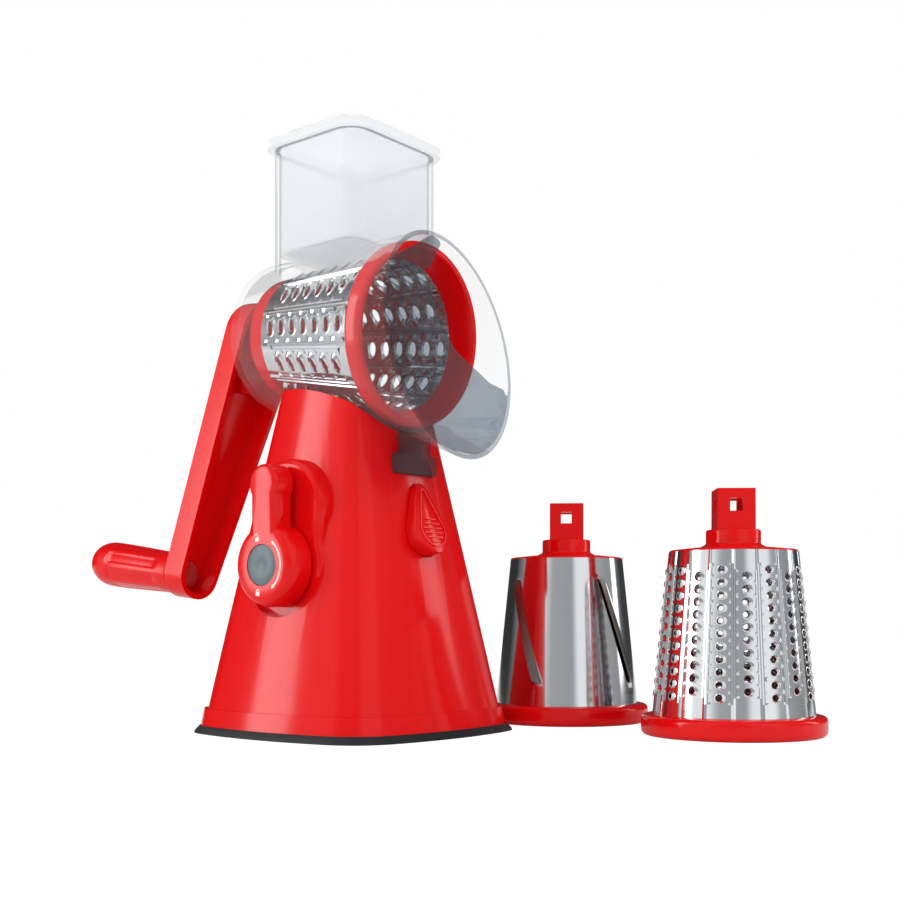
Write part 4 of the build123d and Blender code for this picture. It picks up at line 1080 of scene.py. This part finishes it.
# each lamp: compass direction, elevation, distance, size, power, seen in mirrors
lamps = {
    "leftSoftbox": (137, 16, 1.6, (0.5, 1.2), 9, True),
    "rightSoftbox": (322, 15, 1.5, (0.3, 0.8), 1.8, True),
    "leftFill": (200, 35, 1.6, (0.9, 0.9), 6, False),
    "frontFill": (285, 35, 1.6, (0.9, 0.9), 7, False),
}
view = {
    "lens": 51.29, "sensor": 36, "rise": 0.1847,
    "place": (-0.4308, -0.4100, 0.0526), "towards": (0.7734, 0.6339, 0),
}


def makeFloor():
    bm = bmesh.new()
    bmesh.ops.create_grid(bm, x_segments=1, y_segments=1, size=studio["floorSize"] / 2)
    mesh = bpy.data.meshes.new("floor")
    bm.to_mesh(mesh)
    bm.free()
    floor = bpy.data.objects.new("floor", mesh)
    scene.collection.objects.link(floor)
    material, nodes, links, shader = newMaterial("pale floor")
    shader.inputs["Base Color"].default_value = (0.86, 0.86, 0.86, 1)
    shader.inputs["Roughness"].default_value = 0.9
    path = nodes.new("ShaderNodeLightPath")
    seen = addMath(nodes, links, "MAXIMUM", path.outputs["Is Camera Ray"],
        path.outputs["Is Transmission Ray"])
    diffuse = nodes.new("ShaderNodeBsdfDiffuse")
    diffuse.inputs["Color"].default_value = (*(studio["floorDiffuse"],) * 3, 1)
    glow = nodes.new("ShaderNodeEmission")
    glow.inputs["Strength"].default_value = studio["floorLift"]
    both = nodes.new("ShaderNodeAddShader")
    links.new(diffuse.outputs["BSDF"], both.inputs[0])
    links.new(glow.outputs["Emission"], both.inputs[1])
    final = mixShaders(nodes, links, seen, shader.outputs["BSDF"], both.outputs["Shader"])
    links.new(final, nodes["Material Output"].inputs["Surface"])
    mesh.materials.append(material)


def makeWorld():
    # white to the eye and through clear plastic; in mirrors, bright with a few dark bands
    world = bpy.data.worlds.new("tent")
    scene.world = world
    world.use_nodes = True
    nodes, links = world.node_tree.nodes, world.node_tree.links
    nodes.clear()
    output = nodes.new("ShaderNodeOutputWorld")
    place = nodes.new("ShaderNodeTexCoord")
    split = nodes.new("ShaderNodeSeparateXYZ")
    links.new(place.outputs["Generated"], split.inputs["Vector"])
    angle = addMath(nodes, links, "ARCTAN2", split.outputs["Y"], split.outputs["X"])
    share = nodes.new("ShaderNodeMapRange")
    share.inputs["From Min"].default_value = -math.pi
    share.inputs["From Max"].default_value = math.pi
    links.new(angle, share.inputs["Value"])
    bands = nodes.new("ShaderNodeValToRGB")
    links.new(share.outputs["Result"], bands.inputs["Fac"])
    # compass direction in degrees and the brightness there
    stops = [(-180, 0.62), (-173, 0.42), (-135, 0.38), (-126, 0.95), (-92, 1.0), (-84, 0.45), (-45, 0.28),
             (-15, 0.05), (95, 0.03), (118, 0.25), (131, 0.9), (172, 0.95), (180, 0.62)]
    elements = bands.color_ramp.elements
    while len(elements) < len(stops):
        elements.new(0.5)
    for element, (position, level) in zip(elements, stops):
        element.position = (position + 180) / 360
        element.color = (level * 0.97, level, level * 1.02, 1)
    path = nodes.new("ShaderNodeLightPath")
    mirror = nodes.new("ShaderNodeBackground")
    links.new(bands.outputs["Color"], mirror.inputs["Color"])
    plain = nodes.new("ShaderNodeBackground")
    plain.inputs["Strength"].default_value = studio["worldLevel"]
    white = nodes.new("ShaderNodeBackground")
    white.inputs["Color"].default_value = (1, 1, 1, 1)
    plain.inputs["Color"].default_value = (1, 1, 1, 1)
    seen = addMath(nodes, links, "MAXIMUM", path.outputs["Is Camera Ray"],
        path.outputs["Is Transmission Ray"])
    isGlossy = path.outputs["Is Glossy Ray"]
    lit = mixShaders(nodes, links, isGlossy, plain.outputs["Background"], mirror.outputs["Background"])
    final = mixShaders(nodes, links, seen, lit, white.outputs["Background"])
    links.new(final, output.inputs["Surface"])


def addLamp(name, compass, height, distance, size, power, seen):
    # an area lamp at a compass direction and elevation in degrees, aimed at the machine
    lamp = bpy.data.lights.new(name, "AREA")
    lamp.shape = "RECTANGLE"
    lamp.size, lamp.size_y = size
    lamp.energy = power
    item = bpy.data.objects.new(name, lamp)
    east, rise = math.radians(compass), math.radians(height)
    target = Vector((0, 0, 0.12))
    item.location = target + distance * Vector((math.cos(east) * math.cos(rise),
        math.sin(east) * math.cos(rise), math.sin(rise)))
    item.rotation_euler = (target - item.location).to_track_quat("-Z", "Y").to_euler()
    item.visible_glossy = seen
    scene.collection.objects.link(item)


makeFloor()
makeWorld()
for name, spec in lamps.items():
    addLamp(name, *spec)

camera = bpy.data.cameras.new("camera")
camera.lens = view["lens"]
camera.sensor_width = view["sensor"]
camera.shift_y = view["rise"]
cameraItem = bpy.data.objects.new("camera", camera)
cameraItem.location = view["place"]
cameraItem.rotation_euler = Vector(view["towards"]).to_track_quat("-Z", "Y").to_euler()
scene.collection.objects.link(cameraItem)
scene.camera = cameraItem
scene.view_settings.view_transform = "Standard"
